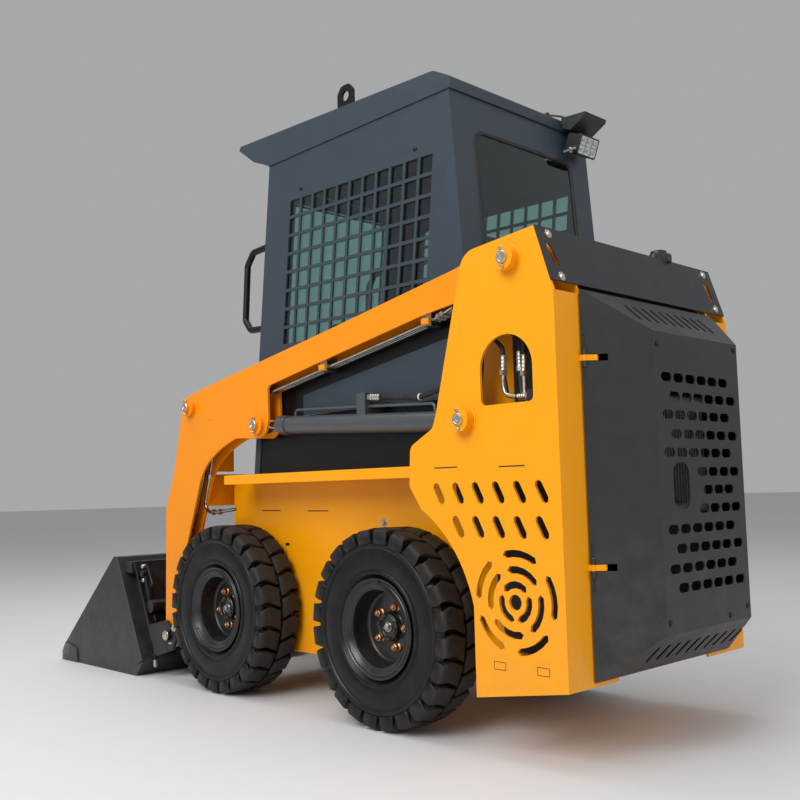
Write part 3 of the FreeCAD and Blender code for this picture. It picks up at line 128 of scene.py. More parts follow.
def mirrored(surface):
    """The mirror image across the middle plane: y changes sign."""
    return surface[0] * (1, -1, 1), surface[1]


def twin(surface):
    """A surface on the left and its mirror image on the right."""
    return together(surface, mirrored(surface))


SIDES = (("left", as_it_is), ("right", mirrored))


def basis(direction):
    """Unit vectors side, up and along: along is the direction, side its cross product with the axis that is
    furthest from it, and up the cross product of along and side."""
    along = np.asarray(direction, float) / np.linalg.norm(direction)
    side = np.cross(np.eye(3)[np.argmin(np.abs(along))], along)
    side /= np.linalg.norm(side)
    return side, np.cross(along, side), along


def lathe(profile, place, direction, segments=32, closed=False):
    """A profile of (along, radius) turned about an axle: place + along * axle + radius * (cos a side + sin a
    up)."""
    profile = np.asarray(profile, float)
    side, up, axle = basis(direction)
    a = np.arange(segments) * 2 * math.pi / segments
    spokes = np.cos(a)[:, None] * side + np.sin(a)[:, None] * up
    centres = np.asarray(place, float) + profile[:, None, :1] * axle
    return skin(centres + profile[:, None, 1:] * spokes, closed)


def tube(path, radius, sides=12, helper=None):
    """A round section carried along a path: centre + radius * (cos a side + sin a up), square to the path."""
    path = np.asarray(path, float)
    along = np.gradient(path, axis=0)
    along /= np.linalg.norm(along, axis=1, keepdims=True)
    if helper is None:
        helper = np.eye(3)[np.argmin(np.abs(along).max(axis=0))]
    side = np.cross(helper, along)
    side /= np.linalg.norm(side, axis=1, keepdims=True)
    up = np.cross(along, side)
    a = np.arange(sides) * 2 * math.pi / sides
    radius = np.broadcast_to(radius, len(path))[:, None, None]
    spokes = np.cos(a)[:, None] * side[:, None] + np.sin(a)[:, None] * up[:, None]
    return skin(path[:, None] + radius * spokes)


def rounded(corners, bend, steps=7):
    """A path whose corners are arcs, (1-t)^2 start + 2t(1-t) corner + t^2 end: start and end lie one bend
    before and after the corner, or just short of half way to its neighbours."""
    corners = np.asarray(corners, float)
    middle = corners[1:-1]

    def towards(other):
        """The points where the arcs meet the straights to other corners."""
        way = other - middle
        length = np.linalg.norm(way, axis=1, keepdims=True)
        return (middle + way / length * np.minimum(bend, 0.49 * length))[:, None]

    t = np.linspace(0, 1, steps)[None, :, None]
    start, end = towards(corners[:-2]), towards(corners[2:])
    arcs = (1 - t) ** 2 * start + 2 * t * (1 - t) * middle[:, None] + t ** 2 * end
    return np.concatenate([corners[:1], arcs.reshape(-1, 3), corners[-1:]])


def inset(outline, amount):
    """An outline moved inwards: each corner goes by (n1 + n2) / (1 + n1.n2), where n1 and n2 are the outward
    normals of its two edges."""
    flat = np.asarray(outline, float)
    after = np.roll(flat, -1, axis=0)
    edge = after - flat
    area = (flat[:, 0] * after[:, 1] - after[:, 0] * flat[:, 1]).sum()
    normal = np.stack([edge[:, 1], -edge[:, 0]], axis=1) / np.linalg.norm(edge, axis=1, keepdims=True)
    normal *= math.copysign(1, area)
    before = np.roll(normal, 1, axis=0)
    return flat - amount * (normal + before) / (1.0 + (normal * before).sum(axis=1, keepdims=True))


def plate(outline, axis, low, high, edge=1.0):
    """An outline carried from low to high along an axis. The rings at both ends are moved inwards by edge,
    which chamfers them."""
    flat = np.asarray(outline, float)
    small = inset(flat, edge)
    rings = [(small, low), (flat, low + edge), (flat, high - edge), (small, high)]
    order = {"X": (2, 0, 1), "Y": (0, 2, 1), "Z": (0, 1, 2)}[axis]
    return skin([np.column_stack([ring, np.full(len(ring), level)])[:, order] for ring, level in rings])


def slab(low, high, edge=1.0):
    """A block between two corners, chamfered round its left and right faces."""
    (x0, y0, z0), (x1, y1, z1) = low, high
    return plate([(x0, z0), (x1, z0), (x1, z1), (x0, z1)], "Y", y0, y1, edge)


def stadium(a, b, width, steps=8):
    """The outline of a slot from a to b: two half circles of radius width / 2."""
    a, b = np.asarray(a, float), np.asarray(b, float)
    lean = math.atan2(b[1] - a[1], b[0] - a[0])
    t = np.linspace(-math.pi / 2, math.pi / 2, steps)
    arc = np.stack([np.cos(t + lean), np.sin(t + lean)], axis=1) * width / 2
    return np.concatenate([b + arc, a - arc])


def round_corners(low, high, radius, steps=7):
    """A rectangle's outline with quarter circles of one radius at its corners."""
    (a0, b0), (a1, b1) = low, high
    t = np.linspace(0, math.pi / 2, steps)
    arc = radius * np.stack([np.cos(t), np.sin(t)], axis=1)
    quarter_turn = np.array([[0, 1], [-1, 0]])
    centres = [(a1 - radius, b1 - radius), (a0 + radius, b1 - radius),
               (a0 + radius, b0 + radius), (a1 - radius, b0 + radius)]
    arcs = [centre + arc @ np.linalg.matrix_power(quarter_turn, n) for n, centre in enumerate(centres)]
    return np.concatenate(arcs)


def seal(outline, place, normal, section):
    """A closed strip round an outline. Each (out, off) of the section gives a ring: the outline moved out by
    the first, placed in space, then moved along the normal by the second."""
    normal = np.asarray(normal, float)
    return skin([place(inset(outline, -out)) + off * normal for out, off in section], True)


def hexagon_bolt(place, direction, across, height, washer=1.05):
    """A hex head, its corners at across / sqrt 3 and its top chamfered, on a washer whose radius is
    across * washer."""
    r = across / math.sqrt(3)
    rim = across * washer
    return together(lathe([(1.6, r), (height - 1.2, r), (height, r * 0.84)], place, direction, 6),
                    lathe([(-1, rim), (1.2, rim), (1.8, rim - 0.6)], place, direction, 28))


def nipple(place, direction):
    """A grease nipple: a hex foot and a waisted neck with a round head."""
    neck = [(4, 3.4), (7, 3.4), (8, 2.2), (9.5, 2.2), (11, 3.1), (12.5, 3.1), (14, 1.8)]
    return together(lathe([(0, 5.2), (4, 5.2), (4.6, 4.6)], place, direction, 6),
                    lathe(neck, place, direction, 16))


def hose_end(start, end, radius, nut=14.0):
    """A crimped sleeve from start to end, its radius waved by the crimping jaws, and a hex nut after it."""
    start, end = np.asarray(start, float), np.asarray(end, float)
    length = float(np.linalg.norm(end - start))
    t = np.linspace(0, 1, 25)
    wave = radius * (1.42 + 0.07 * np.cos(t * 8 * math.pi))
    sleeve = [(0, radius)] + list(zip(t * length, wave)) + [(length, radius * 0.9)]
    r = radius * 1.72
    hexagon = [(length - 1, r * 0.85), (length, r), (length + nut - 1, r), (length + nut, r * 0.85)]
    return together(lathe(sleeve, start, end - start, 24), lathe(hexagon, start, end - start, 6))


def bead(path, radius):
    """A weld bead: a round section along a path, its radius swelling every 4 mm where the arc paused."""
    path = np.asarray(path, float)
    steps = np.linalg.norm(np.diff(path, axis=0), axis=1)
    travelled = np.concatenate([[0], np.cumsum(steps)])
    s = np.arange(0, travelled[-1], 1.3)
    fine = np.stack([np.interp(s, travelled, path[:, k]) for k in range(3)], axis=1)
    return tube(fine, radius * (1 + 0.1 * np.cos(s / 4.0 * 2 * math.pi)), 8)


def collar_bead(x, z, y, radius):
    """A fillet weld round a boss: a ring of small section, which swells about every 5 mm."""
    a = np.linspace(0, 2 * math.pi, 90, endpoint=False)
    swell = 2.6 * (1 + 0.12 * np.cos(a * round(2 * math.pi * radius / 5)))[:, None]
    t = np.arange(8) * math.pi / 4
    r = radius + swell * np.cos(t)
    return skin(np.stack([x + r * np.cos(a)[:, None], y + swell * np.sin(t), z + r * np.sin(a)[:, None]],
                         axis=2), True)


def piece(name, surface, finish, body, angle=32.0):
    """A mesh object from a surface: doubled points merged, faces turned outwards, edges sharp over an
    angle."""
    points, faces = surface
    mesh = bpy.data.meshes.new(name)
    mesh.from_pydata((points * METRES).tolist(), [], faces)
    work = bmesh.new()
    work.from_mesh(mesh)
    bmesh.ops.remove_doubles(work, verts=work.verts, dist=2e-6)
    bmesh.ops.dissolve_degenerate(work, edges=work.edges, dist=2e-6)
    bmesh.ops.recalc_face_normals(work, faces=work.faces)
    work.to_mesh(mesh)
    work.free()
    mesh.polygons.foreach_set("use_smooth", np.ones(len(mesh.polygons), dtype=bool))
    mesh.set_sharp_from_angle(angle=math.radians(angle))
    mesh.materials.append(finish.material)
    thing = bpy.data.objects.new(name, mesh)
    bpy.context.scene.collection.objects.link(thing)
    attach(thing, body)
    return thing


# Finishes

def linear(hex_colour):
    """Linear RGBA of an sRGB hex colour: c / 12.92 below 0.04045, else ((c + 0.055) / 1.055) ** 2.4."""
    channels = [int(hex_colour[i:i + 2], 16) / 255 for i in (1, 3, 5)]
    return [c / 12.92 if c <= 0.04045 else ((c + 0.055) / 1.055) ** 2.4 for c in channels] + [1.0]


class Finish:
    """A node material: one Principled surface, and helpers that add and link its nodes."""

    def __init__(self, name, colour, roughness, metallic=0.0, ior=1.5):
        self.material = bpy.data.materials.new(name)
        self.material.use_nodes = True
        self.tree = self.material.node_tree
        self.surface = self.tree.nodes["Principled BSDF"]
        self.colour = linear(colour)
        self.set(self.surface, "Base Color", self.colour)
        self.set(self.surface, "Roughness", roughness)
        self.set(self.surface, "Metallic", metallic)
        self.set(self.surface, "IOR", ior)

    def node(self, kind, inputs=None, **properties):
        """A new node with its settings and links."""
        node = self.tree.nodes.new(kind)
        for key, value in properties.items():
            setattr(node, key, value)
        for key, value in (inputs or {}).items():
            self.set(node, key, value)
        return node

    def set(self, node, key, value):
        """Puts a plain value on a socket, or links another node's output to it."""
        if isinstance(value, bpy.types.NodeSocket):
            self.tree.links.new(value, node.inputs[key])
        else:
            node.inputs[key].default_value = value

    def place(self, stretch=None):
        """Object coordinates: metres in the machine's frame, stretched if told so."""
        where = self.node("ShaderNodeTexCoord").outputs["Object"]
        if stretch is None:
            return where
        return self.node("ShaderNodeMapping", {"Vector": where, "Scale": stretch}).outputs[0]

    def noise(self, size_mm, detail=2.0, roughness=0.5, stretch=None):
        """Noise from 0 to 1 whose patches are about size_mm across."""
        return self.node("ShaderNodeTexNoise", {"Vector": self.place(stretch), "Scale": 1000.0 / size_mm,
                                                "Detail": detail, "Roughness": roughness}).outputs["Fac"]

    def spread(self, value, low, high, to_low=0.0, to_high=1.0):
        """Value between low and high carried over to another range, held at its ends."""
        return self.node("ShaderNodeMapRange", {"Value": value, "From Min": low, "From Max": high,
                                                "To Min": to_low, "To Max": to_high}).outputs["Result"]

    def mix(self, factor, first, second):
        """The second colour laid over the first by a factor."""
        inputs = {"Factor": factor, 6: first, 7: second}
        return self.node("ShaderNodeMix", inputs, data_type="RGBA").outputs[2]

    def math(self, operation, first, second):
        """A sum, product or the like of two values."""
        return self.node("ShaderNodeMath", {0: first, 1: second}, operation=operation).outputs[0]

    def axis(self, letter):
        """One of the three object coordinates, in metres: Z is the height above the floor."""
        return self.node("ShaderNodeSeparateXYZ", {"Vector": self.place()}).outputs[letter]

    def bump(self, value, depth_mm):
        """Relief from a value: its full range is depth_mm deep."""
        node = self.node("ShaderNodeBump", {"Height": value, "Distance": depth_mm * METRES})
        self.set(self.surface, "Normal", node.outputs["Normal"])

    def shade(self, *layers):
        """Base colour from layers of (factor, hex colour), each laid over the one before."""
        colour = self.colour
        for factor, over in layers:
            colour = self.mix(factor, colour, linear(over))
        self.set(self.surface, "Base Color", colour)


def paint(name, colour, roughness, clean_height, dust=0.1, peel_mm=2.0, peel_depth=0.03, coat=0.0,
          thin="#000000", scratch=0.0, sheen=0.5):
    """Sprayed paint: orange peel, a film that is thin in places and shows the colour thin there, dust in
    patches from the floor up to clean_height metres, and scuffs."""
    finish = Finish(name, colour, roughness)
    finish.set(finish.surface, "Coat Weight", coat)
    finish.set(finish.surface, "Coat Roughness", 0.1)
    finish.set(finish.surface, "Specular IOR Level", sheen)
    low = finish.spread(finish.axis("Z"), 0.0, clean_height, 1.0, 0.0)
    patch = finish.spread(finish.noise(70, 6, 0.65), 0.38, 0.72)
    dirt = finish.math("MULTIPLY", finish.math("MULTIPLY", low, patch), dust)
    film = finish.spread(finish.noise(160, 3), 0.35, 0.7, 0.0, 0.06)
    layers = [(film, thin), (dirt, DUST)]
    if scratch:
        line = finish.spread(finish.noise(26, 8, 0.75, (1, 1, 9)), 0.62, 0.68, 0.0, scratch)
        layers.append((line, "#6E7072"))
    finish.shade(*layers)
    haze = finish.spread(finish.noise(45, 4), 0.3, 0.7, 0.0, 0.15)
    dull = finish.spread(finish.math("ADD", dirt, haze), 0.0, 0.6, roughness - 0.04, 0.8)
    finish.set(finish.surface, "Roughness", dull)
    finish.bump(finish.noise(peel_mm, 1.0), peel_depth)
    return finish


def mottled(name, colour, roughness, patch, patch_mm, amount, low=0.4, high=0.7, patch_detail=3.0,
            grain_mm=1.0, grain_depth=0.0, grain_detail=2.0, metallic=0.0):
    """A finish with faint patches of a second colour, patch_mm across, and a grain of grain_mm."""
    finish = Finish(name, colour, roughness, metallic)
    finish.shade((finish.spread(finish.noise(patch_mm, patch_detail), low, high, 0.0, amount), patch))
    if grain_depth:
        finish.bump(finish.noise(grain_mm, grain_detail), grain_depth)
    return finish


# Gloss enamel, sprayed over primer, on the frame and towers: bright, with shallow orange peel 3 mm across.
tower_paint = paint("yellow_gloss_enamel", YELLOW, 0.32, 0.5, dust=0.2, peel_mm=3.0, coat=0.1,
                    thin="#D97F00", sheen=0.35)
# The boom is the towers' enamel drawn a touch more orange and darker: painted shade.
boom_paint = paint("yellow_gloss_enamel_painted_shade", BOOM_SHADED_YELLOW, 0.32, 0.5, dust=0.15, peel_mm=3.0, coat=0.1,
                   thin="#CF6500", sheen=0.35)
# Fine textured powder coat on the cab and hood: satin, a grain about a millimetre across.
cab_paint = paint("blue_grey_powder_coat", CAB_GREY, 0.38, 1.0, peel_mm=1.4, peel_depth=0.06)
hood_paint = paint("charcoal_powder_coat", HOOD_GREY, 0.42, 0.7, dust=0.25, peel_mm=1.4, peel_depth=0.08,
                   thin="#4A463E")
# Black enamel on small steel parts, on the rims and on the bucket, which is scuffed grey by its work.
black_paint = paint("black_satin_enamel", BLACK_PAINT, 0.3, 0.8, peel_depth=0.04, scratch=0.12, sheen=0.35)
rim_paint = paint("black_rim_enamel", RIM_BLACK, 0.27, 0.6, dust=0.12, coat=0.1)
bucket_paint = paint("black_bucket_enamel", BUCKET_GREY, 0.36, 0.5, dust=0.14, peel_mm=2.5, peel_depth=0.05,
                     scratch=0.15)
# Bare steel shows through it in streaks along X, from 1.33 m on and fully from 1.42 m, at the cutting edge.
near_edge = bucket_paint.spread(bucket_paint.axis("X"), 1.33, 1.42)
streaks = bucket_paint.spread(bucket_paint.noise(35, 8, 0.7, (0.3, 1, 1)), 0.42, 0.6, 0.0, 0.55)
painted = bucket_paint.surface.inputs["Base Color"].links[0].from_socket
scraped = bucket_paint.mix(bucket_paint.math("MULTIPLY", near_edge, streaks), painted, linear(BARE_STEEL))
bucket_paint.set(bucket_paint.surface, "Base Color", scraped)
cylinder_paint = paint("grey_cylinder_enamel", CYLINDER_GREY, 0.3, 0.6, coat=0.2)

# Moulded tyre rubber: sidewalls near black with a dull shine, the lugs' crowns browned by the yard's dust.
tyre_rubber = Finish("moulded_tyre_rubber", RUBBER, 0.4)
tyre_rubber.set(tyre_rubber.surface, "Specular IOR Level", 0.3)
crown = tyre_rubber.node("ShaderNodeAttribute", attribute_name="crown").outputs["Fac"]
grit = tyre_rubber.spread(tyre_rubber.noise(14, 8, 0.7), 0.3, 0.75, 0.25, 1.0)
worn = tyre_rubber.math("MULTIPLY", tyre_rubber.math("MULTIPLY", crown, grit), 0.22)
bloom = tyre_rubber.spread(tyre_rubber.noise(60, 5, 0.6), 0.45, 0.8, 0.0, 0.05)
tyre_rubber.shade((bloom, DUST), (worn, "#6A645C"))
tyre_rubber.set(tyre_rubber.surface, "Roughness", tyre_rubber.spread(worn, 0.0, 0.18, 0.36, 0.7))
tyre_rubber.bump(tyre_rubber.noise(2.2, 4.0, 0.6), 0.15)

# Hard chrome on the cylinder rods, ground and polished: close to a mirror.
rod_chrome = Finish("hard_chrome", CHROME, 0.1, metallic=1.0)
rod_chrome.bump(rod_chrome.noise(1.5, 2.0), 0.004)
# Bright zinc plate on pins, bolts and levers: pale, slightly yellow, in faint patches.
zinc_plate = mottled("zinc_plate", ZINC, 0.3, "#A79E84", 9, 0.35, grain_depth=0.02, metallic=1.0)
# Passivated steel of the boom's pressure lines: darker than the zinc of the bolts.
line_steel = mottled("passivated_steel_tube", "#B4B1A8", 0.24, "#6E6B64", 25, 0.45, low=0.35,
                     grain_depth=0.01, metallic=1.0)
# Copper-coloured plating on the wheel nuts.
copper_plate = mottled("copper_plated_steel", COPPER, 0.38, "#7A4A30", 6, 0.5, grain_depth=0.03, metallic=1.0)
# Sand-cast iron under engine enamel.
engine_iron = mottled("cast_iron_enamel", "#2B2D30", 0.6, "#1A1A1A", 30, 0.4, patch_detail=4.0,
                      grain_mm=2.0, grain_depth=0.25, grain_detail=4.0, metallic=0.2)
# Black core of the radiator. A wave has its bands 2 pi / (20 scale) metres apart: 4 mm, so that they show.
CORE_WAVE_SCALE = 79.5775
radiator_core = Finish("black_radiator_fins", "#0C0D0E", 0.55, metallic=0.3)
fins = radiator_core.node("ShaderNodeTexWave", {"Vector": radiator_core.place(), "Scale": CORE_WAVE_SCALE},
                          bands_direction="Z")
radiator_core.shade((radiator_core.spread(fins.outputs["Fac"], 0.6, 1.0, 0.0, 0.5), "#2A2C2E"))
radiator_core.bump(fins.outputs["Fac"], 0.8)
# Brazed aluminium of the oil cooler, dulled by dust.
cooler_metal = mottled("brazed_aluminium", "#9A9C9C", 0.45, "#6E6A62", 20, 0.5, patch_detail=4.0,
                       grain_mm=1.5, grain_depth=0.03, metallic=0.9)

# Green-tinted toughened glass, with the least waviness from its tempering rollers.
window_glass = Finish("tinted_window_glass", GLASS_TINT, 0.02, ior=1.52)
window_glass.set(window_glass.surface, "Transmission Weight", 1.0)
window_glass.bump(window_glass.noise(300, 1.0), 0.05)
# Clear polycarbonate over the lamp.
clear_lens = Finish("clear_polycarbonate", "#F2F6F8", 0.05, ior=1.58)
clear_lens.set(clear_lens.surface, "Transmission Weight", 0.92)
clear_lens.bump(clear_lens.noise(8, 1.0), 0.02)
# Metallised reflector cups and the pale chips at their bottoms.
reflector = Finish("metallised_reflector", "#F4F4F0", 0.12, metallic=1.0)
reflector.bump(reflector.noise(3, 1.0), 0.02)
lamp_chip = mottled("lamp_chip_phosphor", "#F3EEC2", 0.4, "#E0C860", 2, 0.3, high=0.6, patch_detail=1.0)
# Grained seat vinyl, embossed in cells of 2 mm.
seat_vinyl = mottled("grained_vinyl", VINYL, 0.48, "#3A3A3C", 50, 0.15)
grain = seat_vinyl.node("ShaderNodeTexVoronoi", {"Vector": seat_vinyl.place(), "Scale": 500.0})
seat_vinyl.bump(grain.outputs["Distance"], 0.25)
# Injection-moulded black plastic with a spark-eroded texture.
black_plastic = mottled("moulded_black_plastic", "#17181A", 0.46, "#3C3C3C", 30, 0.12, grain_mm=0.9,
                        grain_depth=0.05, grain_detail=1.0)
# Extruded rubber of seals and hoses, with a faint bloom.
seal_rubber = mottled("extruded_seal_rubber", "#141415", 0.55, "#4A4A48", 40, 0.2, low=0.45, high=0.75,
                      patch_detail=4.0, grain_depth=0.04)
# White nylon of cable ties.
tie_nylon = mottled("white_nylon", "#D8D8D2", 0.4, "#B8B4A8", 5, 0.2, patch_detail=1.0)

SLOT_FINISH = {
    "tower_paint": tower_paint, "boom_paint": boom_paint, "cab_paint": cab_paint, "hood_paint": hood_paint,
    "black_paint": black_paint, "rim_paint": rim_paint, "bucket_paint": bucket_paint,
    "cylinder_paint": cylinder_paint, "rod_chrome": rod_chrome, "engine_iron": engine_iron,
    "radiator_core": radiator_core, "tyre_rubber": tyre_rubber, "window_glass": window_glass,
    "seat_vinyl": seat_vinyl, "seat_frame": black_plastic, "lamp_housing": black_plastic,
    "zinc_steel": zinc_plate, "hose_rubber": seal_rubber,
}
# Solids that differ from the finish of their slot, by the start of their names.
OWN_FINISH = {"boom_tubes": line_steel, "lock_lever": black_paint, "lifting_eye": black_paint}

for part in frame["record"]["subparts"]:
    finish = SLOT_FINISH[part["material_slot"]]
    for start, own in OWN_FINISH.items():
        if part["node"].startswith(start):
            finish = own
    materials = NODES[part["node"]].data.materials
    materials.clear()
    materials.append(finish.material)


# Wheels

WHEEL_Y = 361.5
TREAD_RADIUS = 294.0
AXLE_Z = TREAD_RADIUS
# The back of the hub, measured outwards from the wheel's middle plane.
AXLE_FACE = -65.2
# Half of the carcass's section as (y, radius): from the bead over the sidewall's rings to the tread's middle.
SIDEWALL = np.array([
    (58, 133), (65, 134), (66, 140), (67, 150), (70, 154), (75, 159), (79, 163), (79.6, 167), (78.2, 170),
    (75, 172), (74.4, 175), (76.4, 179), (77.4, 186),
    (78.4, 205), (78, 222), (76, 229), (75.6, 232), (79, 235), (81, 239), (81, 244), (79.6, 247), (75.5, 249),
    (73.5, 256), (69, 263), (64, 268), (0, 268)], float)
# Rows down a lug from the tread's middle to the sidewall: its top as (y, radius), then its foot.
LUG = np.array([
    (5, 267, 5, 262), (5, 292, 5, 262), (7, 293.7, 7, 262), (30, 294, 30, 263), (50, 293.9, 50, 263),
    (70, 291.5, 66, 260), (77.5, 288, 68, 259), (80.5, 283, 70, 257), (81.3, 268, 71, 253),
    (81, 256, 71, 250), (80.2, 249, 72, 246)], float)
LUGS = 24
LUG_CHAMFER = 2.2
# Per end: the axle's X, then angles in radians of the tread, of the lock ring's split and of the first nut.
WHEELS = (("front", 254.5, 0.05, -0.58, -0.16), ("rear", -586.0, 0.11, 1.68, 0.63))


def tyre(x, phase):
    """Carcass: the sidewall and its mirror image turned about the axle. Lug: a grid whose rows run down the
    tables above and whose columns lie along the tread at s = centre(y) -+ (half a pitch - groove(y)), at the
    angle s / tread radius. A row of lugs on either half of the tread, half a pitch apart."""
    section = np.concatenate([SIDEWALL, SIDEWALL[-2::-1] * (-1, 1)])
    carcass = lathe(section, (x, WHEEL_Y, AXLE_Z), LEFT, 168, closed=True)
    top, foot = LUG[:, :2], LUG[:, 2:]
    centre = np.interp(top[:, 0], [4, 50, 81.5], [11, -8, 0])
    groove = np.interp(top[:, 0], [4, 50, 70, 80, 80.6, 81.5], [6, 8, 11.5, 12, 9, 7])
    half = math.pi * TREAD_RADIUS / LUGS - groove
    depth = np.linalg.norm(foot - top, axis=1, keepdims=True)
    edge = top + (foot - top) * np.minimum(1, LUG_CHAMFER / depth)
    columns = [(foot, -half - 1.5), (edge, -half), (top, -half + LUG_CHAMFER),
               (top, half - LUG_CHAMFER), (edge, half), (foot, half + 1.5)]
    y = np.stack([place[:, 0] for place, _ in columns], axis=1)
    r = np.stack([place[:, 1] for place, _ in columns], axis=1)
    s = np.stack([along for _, along in columns], axis=1) + centre[:, None]
    s[0] = s[1]
    angle = s / TREAD_RADIUS
    outer = skin(np.stack([x + r * np.cos(angle), WHEEL_Y + y, AXLE_Z + r * np.sin(angle)], axis=2))
    inner = (outer[0] * (1, -1, 1) + (0, 2 * WHEEL_Y, 0), outer[1])
    pitch = 2 * math.pi / LUGS
    turns = phase + np.arange(LUGS) * pitch
    return together(carcass, repeated(outer, about_axle(turns, x, AXLE_Z)),
                    repeated(inner, about_axle(turns + pitch / 2, x, AXLE_Z)))


def mark_crown(rubber, axle_x):
    """The attribute crown: (distance from the axle - 262) / 26, held between 0 at the lugs' feet and 1."""
    points = np.empty(len(rubber.data.vertices) * 3)
    rubber.data.vertices.foreach_get("co", points)
    spoke = points.reshape(-1, 3) / METRES - (axle_x, 0, AXLE_Z)
    reach = np.hypot(spoke[:, 0], spoke[:, 2])
    attribute = rubber.data.attributes.new("crown", "FLOAT", "POINT")
    attribute.data.foreach_set("value", np.clip((reach - 262) / 26, 0, 1).astype(np.float32))


def rim(x, split):
    """The rim, one profile turned about the axle: hub cap, dish, lock ring, well and back. Six teeth stand on
    the hub cap's shoulder, and a lip marks the lock ring's split."""
    profile = [(23, 0), (23, 27), (25, 29), (29, 29), (30, 31), (30, 39), (28, 41), (9, 43), (6, 46), (6, 97),
               (6.5, 100), (8.5, 103), (12, 106), (14, 106.5), (20, 108), (50, 110.5), (63, 112), (66, 113.5),
               (67.5, 116), (67, 118.5), (69, 122), (73, 127), (76, 131), (76, 133.5), (74.5, 136),
               (73, 137.5), (73.5, 139), (76, 141), (77.5, 144), (77, 146.5), (75, 148), (72, 147), (69, 143),
               (66, 136), (60, 132.3), (-60, 132.3), (-66.5, 132.5), (-72, 146), (-72, 126), (-14, 104),
               (-14, 45), (AXLE_FACE, 45), (AXLE_FACE, 0)]
    body = lathe(profile, (x, WHEEL_Y, AXLE_Z), LEFT, 112)
    tooth = slab((x + 30, WHEEL_Y + 29, AXLE_Z - 8), (x + 39, WHEEL_Y + 35, AXLE_Z + 8), 1.2)
    lip = slab((x + 131, WHEEL_Y + 70, AXLE_Z - 1.6), (x + 148.6, WHEEL_Y + 78.6, AXLE_Z + 1.6), 0.8)
    return together(body, repeated(tooth, about_axle(np.arange(6) * math.pi / 3 + 0.3, x, AXLE_Z)),
                    repeated(lip, about_axle(split, x, AXLE_Z)))


def wheel_nuts(x, first):
    """Five flanged hex nuts with their stud ends on a circle of radius 62 mm."""
    place = (x + 62, WHEEL_Y + 6, AXLE_Z)
    nut = together(lathe([(-1, 15), (2.5, 15), (5, 11.5)], place, LEFT, 28),
                   lathe([(4, 11.5), (15, 11.5), (16.5, 9.6)], place, LEFT, 6),
                   lathe([(14, 6), (21, 6), (22.5, 4.6)], place, LEFT, 16))
    return repeated(nut, about_axle(first + np.arange(5) * 2 * math.pi / 5, x, AXLE_Z))


def hub_bolt(x):
    """The axle's end: a hex bolt head on a thick washer, with a split pin through it."""
    place = (x, WHEEL_Y + 23, AXLE_Z)
    pin = tube([(x - 15, WHEEL_Y + 33, AXLE_Z + 3), (x + 15, WHEEL_Y + 33, AXLE_Z - 3)], 1.8, 10)
    return together(lathe([(-1, 15), (3, 15), (4, 14)], place, LEFT, 36),
                    lathe([(3, 11), (10, 11), (11.5, 9)], place, LEFT, 6), pin)


for end, axle_x, phase, split, first_nut in WHEELS:
    for side, turned in SIDES:
        where = "%s_%s" % (end, side)
        body = "wheel_" + where
        tread = turned(tyre(axle_x, phase))
        rubber = piece("lugged_tyre_" + where, tread, tyre_rubber, body, 40)
        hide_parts("tyre_" + where)
        mark_crown(rubber, axle_x)
        steel = piece("dished_rim_" + where, turned(rim(axle_x, split)), rim_paint, body)
        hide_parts("rim_" + where)
        piece("wheel_nuts_" + where, turned(wheel_nuts(axle_x, first_nut)), copper_plate, body)
        piece("hub_bolt_" + where, turned(hub_bolt(axle_x)), line_steel, body)


# Pins of the towers, boom and bucket

TOWER_FACE, BOOM_FACE, CAB_FACE, FRAME_FACE = 444, 410, 340, 262
TOWER_PINS = ((-1143, 1293), (-972, 882))
BOOM_PINS = ((14, 933), (448, 1028))
BOSS_RADIUS = 34


def pin_end(x, y, z, out=4.0):
    """A pin's plated end with a turned chamfer, a keeper bolt above it and a grease nipple below."""
    profile = [(-4, 16.8), (out - 1.6, 16.8), (out, 15.2), (out, 11.5), (out - 1.4, 10), (out - 1.4, 4.5),
               (out - 3, 3), (out - 3, 0)]
    return together(lathe(profile, (x, y, z), LEFT, 40),
                    hexagon_bolt((x + 4, y - 4, z + 25), LEFT, 9, 6, 0.7),
                    nipple((x - 2, y - 4, z - 25), LEFT))


tower_pins = together(*[pin_end(x, 478, z) for x, z in TOWER_PINS])
piece("tower_pin_ends", twin(tower_pins), zinc_plate, "machine")
boom_pins = together(*[pin_end(x, 440, z, 3) for x, z in BOOM_PINS])
piece("boom_pin_ends", twin(boom_pins), zinc_plate, "boom")
foot_pins = together(hexagon_bolt((591, 438, 173), LEFT, 30, 6, 0.62),
                     hexagon_bolt((549, 427, 203), LEFT, 13, 8),
                     nipple((563, 427, 146), LEFT))
piece("foot_pin_ends", twin(foot_pins), zinc_plate, "bucket")


# Towers, engine bay and frame

PANEL_OUT = (-0.954, 0, 0.299)
PANEL_BOLTS = ((-1235.5, 396, 1348), (-1272, 394, 1230), (-1235, -398, 1349), (-1270, -402, 1235))
panel_bolts = [hexagon_bolt(place, PANEL_OUT, 12, 6) for place in PANEL_BOLTS]
piece("cross_panel_bolts", together(*panel_bolts), zinc_plate, "machine")


def lobed_cap(place, radius, height, lobes):
    """A screw knob: rings of radius * spread * (1 + 0.13 depth cos(lobes a)) under a domed top."""
    a = np.arange(lobes * 24) * 2 * math.pi / (lobes * 24)
    # Each ring's share of the height, its spread and the depth of its lobes.
    levels = np.array([(0, 1, 1), (0.04, 1.02, 1), (0.5, 1.02, 1), (0.62, 0.96, 0.8), (0.72, 0.72, 0.2),
                       (0.94, 0.66, 0), (1.0, 0.5, 0), (1.0, 0.0, 0)])
    r = radius * levels[:, 1:2] * (1 + 0.13 * levels[:, 2:] * np.cos(lobes * a))
    z = np.broadcast_to(levels[:, :1] * height, r.shape)
    return skin(np.stack([r * np.cos(a), r * np.sin(a), z], axis=2) + np.asarray(place, float))


